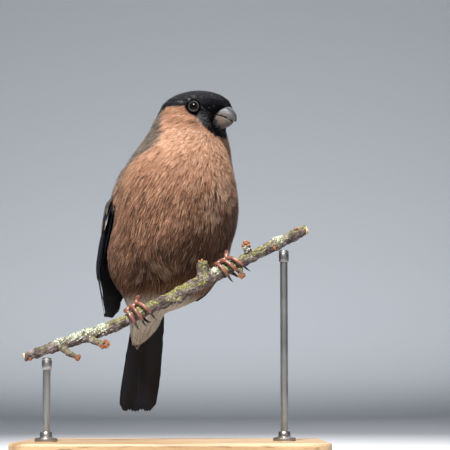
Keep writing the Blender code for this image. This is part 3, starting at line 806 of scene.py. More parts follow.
width = (BARB_WIDTH[0] + BARB_WIDTH[1] * length)[:, None] * rng.uniform(0.8, 1.2, reach.shape)
width = width * BARBS / count
roll = rng.normal(0, math.radians(10), reach.shape)[..., None, None]
run = unit(lines[:, :, -1:] - lines[:, :, :1])
up = unit(up * np.cos(roll) + np.cross(run, up) * np.sin(roll))
pale_chance = 0.02 + 0.8 * patchiness(roots, PALE_PATCHES)
pale = (rng.random(len(roots)) < pale_chance) * rng.uniform(0.35, 1.0, len(roots))
lock = np.arange(count) * LOCKS // count
tuft_tone = rng.normal(0.5, 0.07, len(roots)) + 0.05 * wander(roots, 5.0, 9)
contrast = np.interp(roots[:, 2] / MM, CONTRAST_HEIGHTS, CONTRASTS)[:, None]
lock_tone = tuft_tone[:, None] + contrast * rng.normal(0, 0.15, (len(roots), LOCKS))
barb_tone = lock_tone[:, lock] + contrast * rng.normal(0, 0.10, reach.shape)
barb_tone = np.clip(barb_tone, 0, 1)
lock_pale = pale[:, None] * rng.uniform(0.2, 1.0, (len(roots), LOCKS))
stray = rng.random((len(roots), LOCKS)) < STRAY_SHARE
stray = stray * (from_bill(roots) > STRAY_FROM_BILL)[:, None]
lock_pale = np.maximum(lock_pale, rng.uniform(0.3, 0.9, stray.shape) * stray)
# Painted glints on the crown: three locks in ten get faintly pale tips, which the black's colour turns
# blue-grey.
crown = soft_step(roots[:, 2] / MM, *CROWN_SHEEN_FROM)[:, None] * (rng.random(stray.shape) < 0.30)
lock_pale = np.maximum(lock_pale, rng.uniform(0.02, 0.22, stray.shape) * crown)
malar = patchiness(roots, MALAR)[:, None] > rng.uniform(0.25, 1.0, stray.shape)
lock_pale = np.maximum(lock_pale, rng.uniform(0.4, 1.0, stray.shape) * malar)
barb_pale = (lock_pale[:, lock] * rng.uniform(0.6, 1.0, reach.shape)).ravel()
middles = lines[:, :, 2].reshape(-1, 3)
marks = markings(middles)
strand = np.stack(
    [np.zeros(len(middles)), barb_tone.ravel(), barb_pale, np.ones(len(middles))], axis=1
)
patch = np.repeat(root_map - PATCH / 2, count, axis=0)
step = PATCH / count
along = np.stack(
    [np.tile(np.arange(count) * step, len(roots)), np.full(len(middles), step)], axis=1
)
lines = lines.reshape(-1, 4, 3)
up = up.reshape(-1, 4, 3)
width = width.ravel()

# Barbs that would cross an eye are left out.
keep = np.ones(len(lines), bool)
for middle, axis in EYES.values():
    offset = lines - middle
    span = np.linalg.norm(offset, axis=2)
    facing_out = (offset @ axis) / span
    keep &= ~((span < (EYE_RADIUS + EYE_CLEARANCE) * MM).any(1))
    cone = (facing_out > math.cos(math.radians(LID_HALF_ANGLE))) & (span < LID_REACH * MM)
    keep &= ~cone.any(1)

degrees, heights = round_body(middles)
region = np.select(
    [
        (marks[:, 0] > 0.5) & (heights < 100),
        (marks[:, 0] > 0.5) & (heights > 151.5),
        marks[:, 0] > 0.5,
        (heights < 72),
        np.abs(degrees) > 128,
        heights > 131,
        heights > 112,
        heights > 92,
    ],
    [0, 1, 2, 3, 4, 5, 6, 7],
    default=8,
)
REGIONS = ("tail", "crown", "face", "vent", "mantle", "throat", "breast", "flank", "belly")
for index, label in enumerate(REGIONS):
    picked = keep & (region == index)
    piece = barb_mesh(
        "coat_" + label,
        lines[picked],
        up[picked],
        width[picked],
        patch[picked],
        along[picked],
        marks[picked],
        strand[picked],
    )
    piece.data.materials.append(black_plumage if index < 3 else soft_plumage)
    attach(piece, "root")


# The eyes. Each is a wet, nearly black ball with a dark brown iris, deep in the head, and a thin
# ring of bare grey lid holds it all round.
IRIS_FROM = 21.0
LID_PROFILE = (
    (40.5, 2.71),
    (42.0, 2.82),
    (44.5, 2.95),
    (48.0, 3.03),
    (52.0, 2.98),
    (57.0, 2.82),
    (64.0, 2.55),
)
LID_BEADS = 22
LID_SEGMENTS = 132

eye_look = new_material("eye_wet_dark", (0.006, 0.004, 0.004), 0.04, IOR=1.38, Specular_IOR_Level=0.3)
tree = eye_look.node_tree
eye_marks = tree.nodes.new("ShaderNodeAttribute")
eye_marks.attribute_name = "ring"
iris_ramp = value_ramp(
    tree,
    eye_marks.outputs["Fac"],
    (
        (0.0, (0.002, 0.002, 0.002)),
        (IRIS_FROM / 90 - 0.01, (0.002, 0.002, 0.002)),
        (IRIS_FROM / 90 + 0.02, (0.003, 0.002, 0.0015)),
        (0.42, (0.005, 0.003, 0.002)),
        (0.48, (0.002, 0.002, 0.002)),
    ),
)
tree.links.new(iris_ramp, tree.nodes["Principled BSDF"].inputs["Base Color"])

lid_look = new_material("eye_lid_grey", (0.05, 0.053, 0.06), 0.6, Specular_IOR_Level=0.25)
tree = lid_look.node_tree
lid_marks = tree.nodes.new("ShaderNodeAttribute")
lid_marks.attribute_name = "ring"
lid_ramp = value_ramp(
    tree,
    lid_marks.outputs["Fac"],
    (
        (0.0, (0.003, 0.003, 0.004)),
        (0.45, (0.005, 0.0055, 0.007)),
        (0.75, (0.016, 0.018, 0.022)),
        (1.0, (0.045, 0.050, 0.060)),
    ),
)
tree.links.new(lid_ramp, tree.nodes["Principled BSDF"].inputs["Base Color"])


def add_value(mesh, name, values):
    """Keeps one value at each vertex."""
    layer = mesh.attributes.new(name, "FLOAT", "POINT")
    layer.data.foreach_set("value", np.asarray(values, np.float32))


def grid_mesh(name, points, closed_across=False, closed_along=False):
    """A smooth mesh of quads from rows of points, closed round either way if asked."""
    rows, columns = points.shape[:2]
    index = np.arange(rows * columns).reshape(rows, columns)
    if closed_across:
        index = np.concatenate([index, index[:, :1]], axis=1)
    if closed_along:
        index = np.concatenate([index, index[:1]], axis=0)
    quads = np.stack([index[:-1, :-1], index[:-1, 1:], index[1:, 1:], index[1:, :-1]], axis=2)
    mesh = bpy.data.meshes.new(name)
    mesh.from_pydata(points.reshape(-1, 3).tolist(), [], quads.reshape(-1, 4).tolist())
    mesh.shade_smooth()
    return mesh


def link_piece(name, mesh):
    piece = bpy.data.objects.new(name, mesh)
    bpy.context.scene.collection.objects.link(piece)
    return piece


for side, (middle, axis) in EYES.items():
    bpy.ops.mesh.primitive_ico_sphere_add(subdivisions=5, radius=EYE_RADIUS * MM, location=middle)
    ball = bpy.context.object
    ball.name = ball.data.name = f"eye_ball_{side}"
    bpy.ops.object.transform_apply(location=True, rotation=True, scale=True)
    ball.select_set(False)
    ball.data.shade_smooth()
    out_of = unit(read_points(ball.data) - middle)
    add_value(ball.data, "ring", np.degrees(np.arccos(np.clip(out_of @ axis, -1, 1))) / 90)
    ball.data.materials.append(eye_look)
    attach(ball, "root")
    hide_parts(f"eye_{side}")

    first = unit(np.cross(axis, (0, 0, 1.0)))
    second = np.cross(axis, first)
    turns = np.arange(LID_SEGMENTS) * math.tau / LID_SEGMENTS
    rows = []
    shine = []
    for degrees_out, reach_out in LID_PROFILE:
        angle = math.radians(degrees_out)
        crest = max(0.0, 1 - abs(degrees_out - 48) / 6)
        beads = np.abs(np.sin(turns * LID_BEADS / 2))
        wobble = 1.6 * np.sin(turns * 3 + 1.0) + 0.8 * np.sin(turns * 7)
        spot = reach_out + 0.07 * crest * (beads - 0.5)
        tilt = angle + np.radians(wobble) * 0.5
        around = np.cos(turns)[:, None] * first + np.sin(turns)[:, None] * second
        lid_way = axis * np.cos(tilt)[:, None] + around * np.sin(tilt)[:, None]
        rows.append(middle + lid_way * spot[:, None] * MM)
        shine.append(0.05 + crest * (0.40 + 0.4 * beads))
    lid_mesh = grid_mesh(f"eye_lid_{side}", np.array(rows), closed_across=True)
    lid = link_piece(f"eye_lid_{side}", lid_mesh)
    add_value(lid.data, "ring", np.concatenate(shine))
    lid.data.materials.append(lid_look)
    work = bmesh.new()
    work.from_mesh(lid.data)
    bmesh.ops.recalc_face_normals(work, faces=work.faces)
    if sum(face.normal.dot(Vector(axis)) for face in work.faces) < 0:
        bmesh.ops.reverse_faces(work, faces=work.faces)
    work.to_mesh(lid.data)
    work.free()
    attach(lid, "root")


# The bill. It is short, deep and swollen, of satin horn: dark along the ridge and the tip, with a
# blue-grey sheen painted along the ridge, paler pinkish grey on the sides, greyer below. The two
# halves keep a fine gap between them.
BILL_VOXEL = 0.17
CULMEN = ((6.0, 2.6), (11.5, 3.1), (15.4, 2.2), (18.0, 0.2), (19.5, -2.4), (19.7, -4.6))
CUTTING_EDGE = ((4.0, -1.5), (8.6, -1.6), (12.6, -2.2), (15.6, -3.1), (17.8, -4.1), (19.2, -5.1))
GONYS = ((4.0, -6.6), (7.6, -7.2), (11.4, -7.5), (14.4, -7.2), (16.6, -6.3), (17.9, -5.3))



def spread_roughness(tree, least, mark, spread):
    """Roughness from least, up to spread above it where the mark is 1."""
    rough = maths(tree, "ADD", least, maths(tree, "MULTIPLY", mark, spread))
    tree.links.new(rough, tree.nodes["Principled BSDF"].inputs["Roughness"])


bill_look = new_material(
    "bill_horn",
    (0.15, 0.12, 0.12),
    0.42,
    Specular_IOR_Level=0.35,
    Coat_Weight=0.06,
    Coat_Roughness=0.35,
)
tree = bill_look.node_tree
shader = tree.nodes["Principled BSDF"]
bill_marks = tree.nodes.new("ShaderNodeAttribute")
bill_marks.attribute_name = "horn"
horn = tree.nodes.new("ShaderNodeSeparateColor")
tree.links.new(bill_marks.outputs["Color"], horn.inputs["Color"])
places = tree.nodes.new("ShaderNodeTexCoord").outputs["Object"]
mottle = noise(tree, places, 900.0, 4.0, 0.6)
scratch = noise(tree, places, 3200.0, 3.0, 0.55)
blur = maths(tree, "MULTIPLY", maths(tree, "SUBTRACT", mottle, 0.5), 1.3)
# Painted sheen: the upper half darkens from the cutting edge to the ridge, and its blue tint towards
# the ridge is a painted reflection on the dark horn.
upper_colour = value_ramp(
    tree,
    maths(tree, "ADD", horn.outputs["Green"], blur),
    (
        (0.0, (0.040, 0.030, 0.028)),
        (0.12, (0.085, 0.068, 0.064)),
        (0.42, (0.082, 0.078, 0.090)),
        (0.66, (0.040, 0.045, 0.064)),
        (1.0, (0.016, 0.019, 0.030)),
    ),
)
lower_colour = value_ramp(
    tree,
    maths(tree, "ADD", horn.outputs["Green"], blur),
    (
        (0.0, (0.040, 0.030, 0.026)),
        (0.15, (0.090, 0.066, 0.052)),
        (0.6, (0.100, 0.078, 0.064)),
        (1.0, (0.060, 0.052, 0.050)),
    ),
)
horn_colour = mixed(tree, horn.outputs["Blue"], upper_colour, lower_colour)
tip_share = value_ramp(
    tree, maths(tree, "ADD", horn.outputs["Red"], blur), ((0.70, (0, 0, 0)), (1.0, (0.75, 0.75, 0.75)))
)
horn_colour = mixed(tree, tip_share, horn_colour, (0.040, 0.036, 0.040))
tree.links.new(horn_colour, shader.inputs["Base Color"])
spread_roughness(tree, 0.40, scratch, 0.28)
bump = tree.nodes.new("ShaderNodeBump")
bump.inputs["Strength"].default_value = 0.25
bump.inputs["Distance"].default_value = 0.1 * MM
tree.links.new(maths(tree, "ADD", maths(tree, "MULTIPLY", scratch, 0.5), mottle), bump.inputs["Height"])
tree.links.new(bump.outputs["Normal"], shader.inputs["Normal"])

for half in ("upper", "lower"):
    bill = merged_copy(f"bill_half_{half}", f"bill_{half}")
    add_modifier(bill, "REMESH", mode="VOXEL", voxel_size=BILL_VOXEL * MM)
    add_modifier(bill, "SMOOTH", factor=0.5, iterations=7)
    apply_modifiers(bill)
    bill.data.shade_smooth()
    ahead, left, up = head_frame(read_points(bill.data).astype(float))
    edge = np.interp(ahead, *zip(*CUTTING_EDGE))
    ridge = np.interp(ahead, *zip(*(CULMEN if half == "upper" else GONYS)))
    share = np.clip((up - edge) / np.where(np.abs(ridge - edge) < 0.5, 0.5, ridge - edge), 0, 1)
    along_bill = np.clip((ahead - 8) / 11.7, 0, 1)
    below = np.full(len(up), float(half == "lower"))
    add_marks(bill.data, "horn", np.stack([along_bill, share, below, np.ones(len(up))], axis=1))
    bill.data.materials.append(bill_look)
    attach(bill, "root")
    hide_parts(f"bill_{half}")

# Short stiff feathers lie forward over the bill's base, black with a few grey ones.
BRISTLES = 420
BRISTLE_FROM = (8.6, 11.2)
BRISTLE_LENGTH = (1.3, 2.7)
BRISTLE_WIDTH = 0.11
BRISTLE_SEED = 31

draw = np.random.default_rng(BRISTLE_SEED)
halves = [bpy.data.objects[f"bill_half_{name}"].data for name in ("upper", "lower")]
bill_points = np.concatenate([read_points(half) for half in halves]).astype(float)
bill_normals = np.concatenate(
    [read_points(half, "vertex_normals", "vector") for half in halves]
).astype(float)
ahead, left, up = head_frame(bill_points)
on_side = np.abs(bill_normals @ HEAD_AHEAD) < 0.75
ring = np.flatnonzero((ahead > BRISTLE_FROM[0]) & (ahead < BRISTLE_FROM[1]) & on_side)
picked = draw.choice(ring, BRISTLES)
feet = bill_points[picked] - bill_normals[picked] * 0.25 * MM
outward = bill_normals[picked]
forward = HEAD_AHEAD + draw.normal(0, 0.22, (BRISTLES, 3)) + np.array((0, 0, -0.12))
forward = unit(forward - outward * (forward * outward).sum(1, keepdims=True))
reach = draw.uniform(*BRISTLE_LENGTH, BRISTLES)
t = BARB_STATIONS
lines = feet[:, None] + forward[:, None] * (reach[:, None] * t)[..., None] * MM
clear = draw.uniform(0.25, 0.55, (BRISTLES, 1)) * np.sin(t * math.pi * 0.62)
lines = lines + outward[:, None] * (0.25 + clear)[..., None] * MM
grey = draw.random(BRISTLES) < 0.34
marks = np.tile((1.0, 0.0, 0.0, 0.5), (BRISTLES, 1))
strand = np.stack(
    [
        np.zeros(BRISTLES),
        draw.uniform(0.2, 0.8, BRISTLES),
        grey * draw.uniform(0.4, 1.0, BRISTLES),
        np.ones(BRISTLES),
    ],
    axis=1,
)
cells = np.stack(np.divmod(np.arange(BRISTLES), 21), axis=1) / 21.0
bristles = barb_mesh(
    "bill_bristles",
    lines,
    np.repeat(outward[:, None], 4, axis=1),
    np.full(BRISTLES, BRISTLE_WIDTH),
    cells,
    np.tile((0.0, PATCH), (BRISTLES, 1)),
    marks,
    strand,
)
bristles.data.materials.append(black_plumage)
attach(bristles, "root")


# The folded wings. Stiff black feathers lie over each other like tiles, from the coverts below the
# bend, which the mantle's soft feathers hide, down to the long flight feathers; a faint blue gloss
# is painted into them as a lighter blue-black along one side of each. The greater coverts end in
# pale grey and make the wing's bar. A thin core carries them.
#
# Each row: height, middle of the body in X and Y, its half width, its depth behind, and the wing's
# front and back edges in degrees round from the breast. Then how far the wing stands off the
# body's side on its right, on its left and behind.
WING_ROWS = (
    (62.6, -12.3, 19.6, 5.0, 7.0, 113, 158, 13.2, 4.8, 5.1),
    (66.0, -10.3, 18.6, 8.8, 10.9, 109, 159, 12.8, 4.9, 4.6),
    (71.0, -6.0, 16.0, 16.8, 14.0, 106, 159, 10.5, 4.5, 3.7),
    (77.0, -4.8, 13.7, 22.3, 16.5, 103, 158, 7.1, 4.1, 3.2),
    (84.0, -3.9, 11.0, 25.8, 18.6, 101, 161, 4.9, 3.5, 2.9),
    (92.0, -2.7, 8.0, 27.2, 20.0, 99, 164, 3.2, 3.2, 3.2),
    (100.0, -0.6, 5.0, 27.2, 21.0, 99, 166, 3.4, 3.4, 3.4),
    (109.0, 0.8, 1.8, 26.8, 21.4, 100, 167, 3.2, 3.2, 3.2),
    (118.0, 1.4, -1.6, 25.4, 21.6, 104, 166, 2.6, 2.6, 2.6),
    (124.0, 2.0, -4.0, 23.8, 22.2, 110, 162, 1.9, 1.9, 1.9),
    (127.2, 2.6, -5.4, 22.8, 22.5, 120, 154, 1.3, 1.3, 1.3),
)
# Each set of feathers: how many, then for the first and the last of them the height and the
# place across the wing (0 in front, 1 behind) of root and tip, the half width, how blunt the tip
# is, how high they lie, and their look: how brown, how pale at the tip.
FEATHER_SETS = (
    ("primary", 9, (98, 0.07, 63.4, 0.10), (96, 0.72, 63.8, 0.94), 2.5, 3.2, 0.10, 0.00, 0.0),
    ("secondary", 6, (103, 0.12, 79.0, 0.16), (102, 0.80, 76.0, 0.62), 2.8, 3.2, 0.45, 0.00, 0.0),
    ("tertial", 3, (106, 0.62, 82.0, 0.66), (108, 0.92, 92.0, 0.86), 4.3, 3.6, 0.75, 0.06, 0.0),
    ("alula", 2, (109, 0.05, 98.0, 0.04), (109, 0.10, 100.0, 0.10), 1.5, 2.4, 1.05, 0.00, 0.0),
    ("greater", 9, (112, 0.06, 99.0, 0.06), (112, 0.90, 97.5, 0.86), 2.7, 3.4, 0.85, 0.00, 1.0),
    ("median", 8, (114, 0.08, 105.5, 0.07), (114, 0.90, 104.5, 0.88), 2.6, 3.0, 1.0, 0.35, 0.3),
)
VANE_STATIONS = 22
VANE_COLUMNS = 9
VANE_ARCH = 0.22
VANE_TILT = 0.16
WING_SEED = 23
WING_CORE_SINK = 0.6
# The left wing's tip is held higher, against the rump: everything below a height is drawn up.
LEFT_TIP_HEIGHT = 70.0
DRAWN_UP_BELOW = 92.0
BROWN_ABOVE = 107.0
SHOULDER_TUCK = 1.6
CORE_TOP = 110.5

vane_colour, given, put = new_group(
    "vane",
    (("Vane", "Color"), ("Kind", "Color"), ("Place", "Vector")),
    (("Color", "Color"), ("Roughness", "Float"), ("Height", "Float")),
)
vane = vane_colour.nodes.new("ShaderNodeSeparateColor")
kind = vane_colour.nodes.new("ShaderNodeSeparateColor")
vane_colour.links.new(given["Vane"], vane.inputs["Color"])
vane_colour.links.new(given["Kind"], kind.inputs["Color"])
down_vane, painted_sheen_across, barb_wave = (vane.outputs[c] for c in ("Red", "Green", "Blue"))
brown, pale_tip, own = (kind.outputs[c] for c in ("Red", "Green", "Blue"))
barb_lines_value = maths(vane_colour, "SINE", maths(vane_colour, "MULTIPLY", barb_wave, 620.0))
fine = maths(vane_colour, "MULTIPLY", maths(vane_colour, "ADD", barb_lines_value, 1.0), 0.5)
smudge = noise(vane_colour, given["Place"], 700.0, 3.0, 0.6)
# Painted sheen: each feather runs from black on one side to a lighter blue-black on the other, a blue
# gloss painted into the colour.
base = mixed(vane_colour, painted_sheen_across, (0.0035, 0.004, 0.006), (0.008, 0.010, 0.017))
base = mixed(vane_colour, maths(vane_colour, "MULTIPLY", own, 0.6), base, (0.010, 0.011, 0.015))
soft_brown = mixed(vane_colour, smudge, (0.10, 0.075, 0.062), (0.21, 0.170, 0.145))
base = mixed(vane_colour, brown, base, soft_brown)
smudged = maths(vane_colour, "MULTIPLY", maths(vane_colour, "SUBTRACT", smudge, 0.5), 0.14)
reach = maths(vane_colour, "ADD", down_vane, smudged)
tip_mask = value_ramp(vane_colour, reach, ((0.60, (0, 0, 0)), (0.72, (1, 1, 1))))
pale_colour = mixed(vane_colour, fine, (0.17, 0.135, 0.11), (0.27, 0.225, 0.19))
base = mixed(vane_colour, maths(vane_colour, "MULTIPLY", tip_mask, pale_tip), base, pale_colour)
barb_grain = mixed(vane_colour, fine, (0.55, 0.55, 0.55), (1.3, 1.3, 1.3))
base = mixed(vane_colour, 0.35, base, barb_grain, "MULTIPLY")
vane_colour.links.new(base, put["Color"])
rough = maths(vane_colour, "ADD", 0.48, maths(vane_colour, "MULTIPLY", fine, 0.14))
rough = maths(vane_colour, "ADD", rough, maths(vane_colour, "MULTIPLY", brown, 0.35))
vane_colour.links.new(rough, put["Roughness"])
vane_colour.links.new(fine, put["Height"])


def vane_material(name, **sockets):
    made = new_material(name, (0.01, 0.01, 0.014), 0.5, **sockets)
    tree = made.node_tree
    colours = tree.nodes.new("ShaderNodeGroup")
    colours.node_tree = vane_colour
    for attribute, socket in (("vane", "Vane"), ("kind", "Kind")):
        node = tree.nodes.new("ShaderNodeAttribute")
        node.attribute_name = attribute
        tree.links.new(node.outputs["Color"], colours.inputs[socket])
    places = tree.nodes.new("ShaderNodeTexCoord")
    tree.links.new(places.outputs["Object"], colours.inputs["Place"])
    bump = tree.nodes.new("ShaderNodeBump")
    bump.inputs["Strength"].default_value = 0.35
    bump.inputs["Distance"].default_value = 0.06 * MM
    tree.links.new(colours.outputs["Height"], bump.inputs["Height"])
    shader = tree.nodes["Principled BSDF"]
    tree.links.new(colours.outputs["Color"], shader.inputs["Base Color"])
    tree.links.new(colours.outputs["Roughness"], shader.inputs["Roughness"])
    tree.links.new(bump.outputs["Normal"], shader.inputs["Normal"])
    return made


flight_look = vane_material("flight_feather", Specular_IOR_Level=0.15)


def vane_width(t, blunt):
    """A feather's half width along its length, as a share of its widest."""
    rise = np.minimum(1.0, 0.45 + 1.6 * t) ** 0.7
    fall = np.maximum(0.0, 1 - t ** (blunt * 2.4)) ** (1 / blunt)
    return rise * fall


def vane_grid(middles, normals, half_width, blunt, draw):
    """Points of one feather: its middle line, widened across and arched, with its marks."""
    t = np.linspace(0, 1, VANE_STATIONS)
    run = unit(np.gradient(middles, axis=0))
    across = unit(np.cross(normals, run))
    s = np.linspace(-1, 1, VANE_COLUMNS)
    width = half_width * vane_width(t, blunt)
    edge_wear = 1 + 0.03 * draw.normal(size=(VANE_STATIONS, 1)) * (np.abs(s) > 0.9)
    aside = width[:, None] * s * edge_wear
    arch = VANE_ARCH * (1 - s**2) * np.minimum(1, 3 * (1 - t))[:, None]
    ridge = 0.07 * (np.abs(s) < 0.01) * (1 - t[:, None])
    back = -0.35 * np.abs(s) * width[:, None]
    points = (
        middles[:, None]
        + across[:, None] * aside[..., None] * MM
        + run[:, None] * back[..., None] * 0.6 * MM
        + normals[:, None] * (arch + ridge - VANE_TILT * s)[..., None] * MM
    )
    span = np.linalg.norm(middles[-1] - middles[0]) / MM
    wave = t[:, None] * span * 0.028 - np.abs(s) * half_width * 0.018
    # Across the feather, from its darker side to the side with the painted blue sheen.
    shade = 0.5 + 0.5 * s
    marks = np.stack(np.broadcast_arrays(t[:, None], shade, wave, 1.0), axis=2)
    return points, marks


def vane_piece(name, grids, kinds):
    """One piece of feathers from their grids of points, with a cell of the map for each."""
    rows, columns = VANE_STATIONS, VANE_COLUMNS
    number = len(grids)
    index = np.arange(rows * columns).reshape(rows, columns)
    quads = np.stack([index[:-1, :-1], index[:-1, 1:], index[1:, 1:], index[1:, :-1]], axis=2)
    quads = quads.reshape(-1, 4)
    every = (quads[None] + rows * columns * np.arange(number)[:, None, None]).reshape(-1, 4)
    points = np.concatenate([grid.reshape(-1, 3) for grid, _ in grids])
    mesh = bpy.data.meshes.new(name)
    mesh.from_pydata(points.tolist(), [], every.tolist())
    mesh.shade_smooth()
    side = math.ceil(math.sqrt(number))
    cell = np.stack(np.divmod(np.arange(number), side), axis=1) / side
    u, v = np.meshgrid(np.linspace(0.06, 0.94, columns), np.linspace(0.03, 0.97, rows))
    local = np.stack([u, v], axis=2).reshape(-1, 2) / side
    flat_map = (cell[:, None] + local[None]).reshape(-1, 2)
    mesh.uv_layers.new(name="OFBake")
    mesh.uv_layers["OFBake"].data.foreach_set("uv", flat_map[every.ravel()].astype(np.float32).ravel())
    add_marks(mesh, "vane", np.concatenate([marks.reshape(-1, 4) for _, marks in grids]))
    add_marks(mesh, "kind", np.repeat(np.array(kinds), rows * columns, axis=0))
    piece = link_piece(name, mesh)
    piece.data.materials.append(flight_look)
    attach(piece, "root")
    return piece


wing_columns = list(zip(*WING_ROWS))
BODY_AHEAD, BODY_LEFT = facing(BODY_YAW)


def wing_place(tree, sign, height, share, off):
    """Points of the wing's outer face at these heights and places across it, and its normals."""
    row_height = height
    if sign > 0:
        drawn = (DRAWN_UP_BELOW - LEFT_TIP_HEIGHT) / (DRAWN_UP_BELOW - wing_columns[0][0])
        lifted = DRAWN_UP_BELOW - (DRAWN_UP_BELOW - height) * drawn
        height = np.where(height < DRAWN_UP_BELOW, lifted, height)
    middle_x, middle_y, half_width, behind = (
        np.interp(height, wing_columns[0], column) for column in wing_columns[1:5]
    )
    front, back, off_right, off_left, off_back = (
        np.interp(row_height, wing_columns[0], column) for column in wing_columns[5:]
    )
    turn = np.radians(front + (back - front) * share)
    aside = (half_width + (off_left if sign > 0 else off_right) + 1.0) * np.sin(turn) * sign
    depth = -(behind + off_back + 1.0) * np.cos(turn)
    points = np.stack([middle_x, middle_y, height], axis=1)
    points = points + aside[:, None] * BODY_LEFT - depth[:, None] * BODY_AHEAD
    points = points * MM
    outward = unit(points - np.stack([middle_x, middle_y, height], axis=1) * MM)
    found = [tree.find_nearest(place) for place in points.tolist()]
    places = np.array([hit[0] for hit in found])
    return places + outward * off * MM, outward


for side, sign in (("right", -1), ("left", 1)):
    draw = np.random.default_rng(WING_SEED + sign)
    core = merged_copy(f"wing_core_{side}", f"wing_{side}_coverts", f"wing_{side}_flight")
    add_modifier(core, "REMESH", mode="VOXEL", voxel_size=0.6 * MM)
    add_modifier(core, "SMOOTH", factor=0.5, iterations=4)
    apply_modifiers(core)
    core_points = read_points(core.data)
    core_faces = [list(face.vertices) for face in core.data.polygons]
    wing_tree = BVHTree.FromPolygons([Vector(p) for p in core_points.tolist()], core_faces)
    grids = []
    kinds = []
    for label, number, first, last, half_width, blunt, rise, brown_share, pale_share in FEATHER_SETS:
        for i in range(number):
            share = i / (number - 1)
            (root_h, root_s, tip_h, tip_s) = (a + (b - a) * share for a, b in zip(first, last))
            tip_h += draw.uniform(-0.5, 0.5)
            t = np.linspace(0, 1, VANE_STATIONS)
            height = root_h + (tip_h - root_h) * t
            place = root_s + (tip_s - root_s) * t**1.2
            order = share if label in ("primary", "secondary", "tertial") else 1 - share
            tucked = SHOULDER_TUCK * (1 - soft_step(t, 0, 0.5)) * (root_h > SHOULDER_FROM)
            off = rise + 0.16 * order + 0.12 * t - tucked
            middles, normals = wing_place(wing_tree, sign, height, place, off[:, None])
            for _ in range(3):
                middles[1:-1] = (middles[:-2] + 2 * middles[1:-1] + middles[2:]) / 4
            grids.append(vane_grid(middles, normals, half_width, blunt, draw))
            kinds.append((brown_share, pale_share, draw.random(), 1.0))
    vane_piece(f"wing_feathers_{side}", grids, kinds)
    add_modifier(core, "DISPLACE", strength=-WING_CORE_SINK * MM, mid_level=0.0)
    apply_modifiers(core)
    core.data.shade_smooth()
    core.data.materials.append(flight_look)
    work = bmesh.new()
    work.from_mesh(core.data)
    hidden = [vert for vert in work.verts if vert.co.z > CORE_TOP * MM]
    bmesh.ops.delete(work, geom=hidden, context="VERTS")
    work.to_mesh(core.data)
    work.free()
    core_points = read_points(core.data).astype(float)
    plain = np.zeros(len(core_points))
    brown_share = soft_step(core_points[:, 2] / MM, BROWN_ABOVE - 1, BROWN_ABOVE + 1)
    add_marks(core.data, "vane", np.stack([plain + 0.2, plain + 0.4, plain, plain + 1], axis=1))
    add_marks(core.data, "kind", np.stack([brown_share, plain, plain + 0.3, plain + 1], axis=1))
    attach(core, "root")
    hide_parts(f"wing_{side}_flight", f"wing_{side}_coverts")


# The tail. Twelve narrow black feathers lie in a closed, slightly arched fan, the middle pair on
# top. From below, their blunt ends show as three lobes, and a faint blue sheen is painted along
# one side of each.
TAIL_ROOT = (-10.2, 23.4, 78.0)
TAIL_TIP = (-18.0, 38.6, 21.6)
TAIL_HALF = 9.9
# Each feather of one side, outermost first: its place across the tail at root and tip, how far
# short of the end it stops, and how low it lies in the stack.
RECTRICES = (
    (0.30, 0.66, 0.6, 0.95),
    (0.26, 0.56, 0.2, 0.80),
    (0.22, 0.46, 0.0, 0.62),
    (0.18, 0.30, 0.5, 0.44),
    (0.10, 0.14, 0.0, 0.26),
    (0.04, 0.04, -0.2, 0.08),
)
RECTRIX_HALF_WIDTH = 3.7
RECTRIX_BLUNT = 3.4

tail_root = np.array(TAIL_ROOT)
tail_along = np.array(TAIL_TIP) - tail_root
tail_front = unit(np.cross(BODY_LEFT, tail_along))
tail_front *= np.sign(tail_front @ BODY_AHEAD)
draw = np.random.default_rng(WING_SEED)
grids = []
kinds = []
t = np.linspace(0, 1, VANE_STATIONS)
for sign in (-1, 1):
    for root_place, tip_place, short, low in RECTRICES:
        place = sign * (root_place + (tip_place - root_place) * t**0.8) * TAIL_HALF
        reach_down = t * (1 - (short + draw.uniform(0, 0.3)) / 58.0)
        middles = (
            tail_root
            + tail_along * reach_down[:, None]
            + BODY_LEFT * place[:, None]
            + tail_front * (1.5 * (place / TAIL_HALF) ** 2 - 0.5 + 1.1 * (low - 0.5))[:, None]
        ) * MM
        normals = np.tile(-tail_front + BODY_LEFT * sign * tip_place * 0.25, (len(t), 1))
        grids.append(vane_grid(middles, unit(normals), RECTRIX_HALF_WIDTH, RECTRIX_BLUNT, draw))
        kinds.append((0.0, 0.0, draw.random(), 1.0))
tail = vane_piece("tail_feathers", grids, kinds)
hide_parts("tail")


# The feet. Three toes come over the twig in front and one holds it from behind. They are covered
# in smooth horny plates of pinkish brown skin, which overlap on top and bulge in pads below, and
# their hollows are darkened with painted shade.
TWIG = (
    (-61.5, -19.6, 44.6, 1.9),
    (-52.5, -18.5, 47.9, 2.2),
    (-41.0, -17.1, 51.8, 2.5),
    (-29.6, -15.7, 55.8, 2.6),
    (-20.4, -14.5, 59.8, 2.5),
    (-10.4, -13.3, 65.2, 2.6),
    (-1.5, -12.1, 69.3, 2.8),
    (7.6, -11.0, 74.4, 3.0),
    (16.4, -9.9, 78.9, 3.0),
    (25.0, -8.9, 83.4, 2.5),
    (34.2, -7.7, 88.1, 2.4),
    (41.7, -6.8, 92.0, 2.6),
    (49.4, -5.9, 95.8, 2.4),
    (57.0, -5.0, 99.8, 2.2),
)
FOOT_BALLS = {"right": -15.2, "left": 22.6}
ANKLES = {"right": (-15.0, -2.0, 70.8), "left": (22.6, -5.0, 90.2)}
FOOT_RISE = (0.0, 2.0, 5.6)
TARSUS_RADIUS = 1.05
TOE_RADIUS = 0.86
TOE_CLEARANCE = 0.36
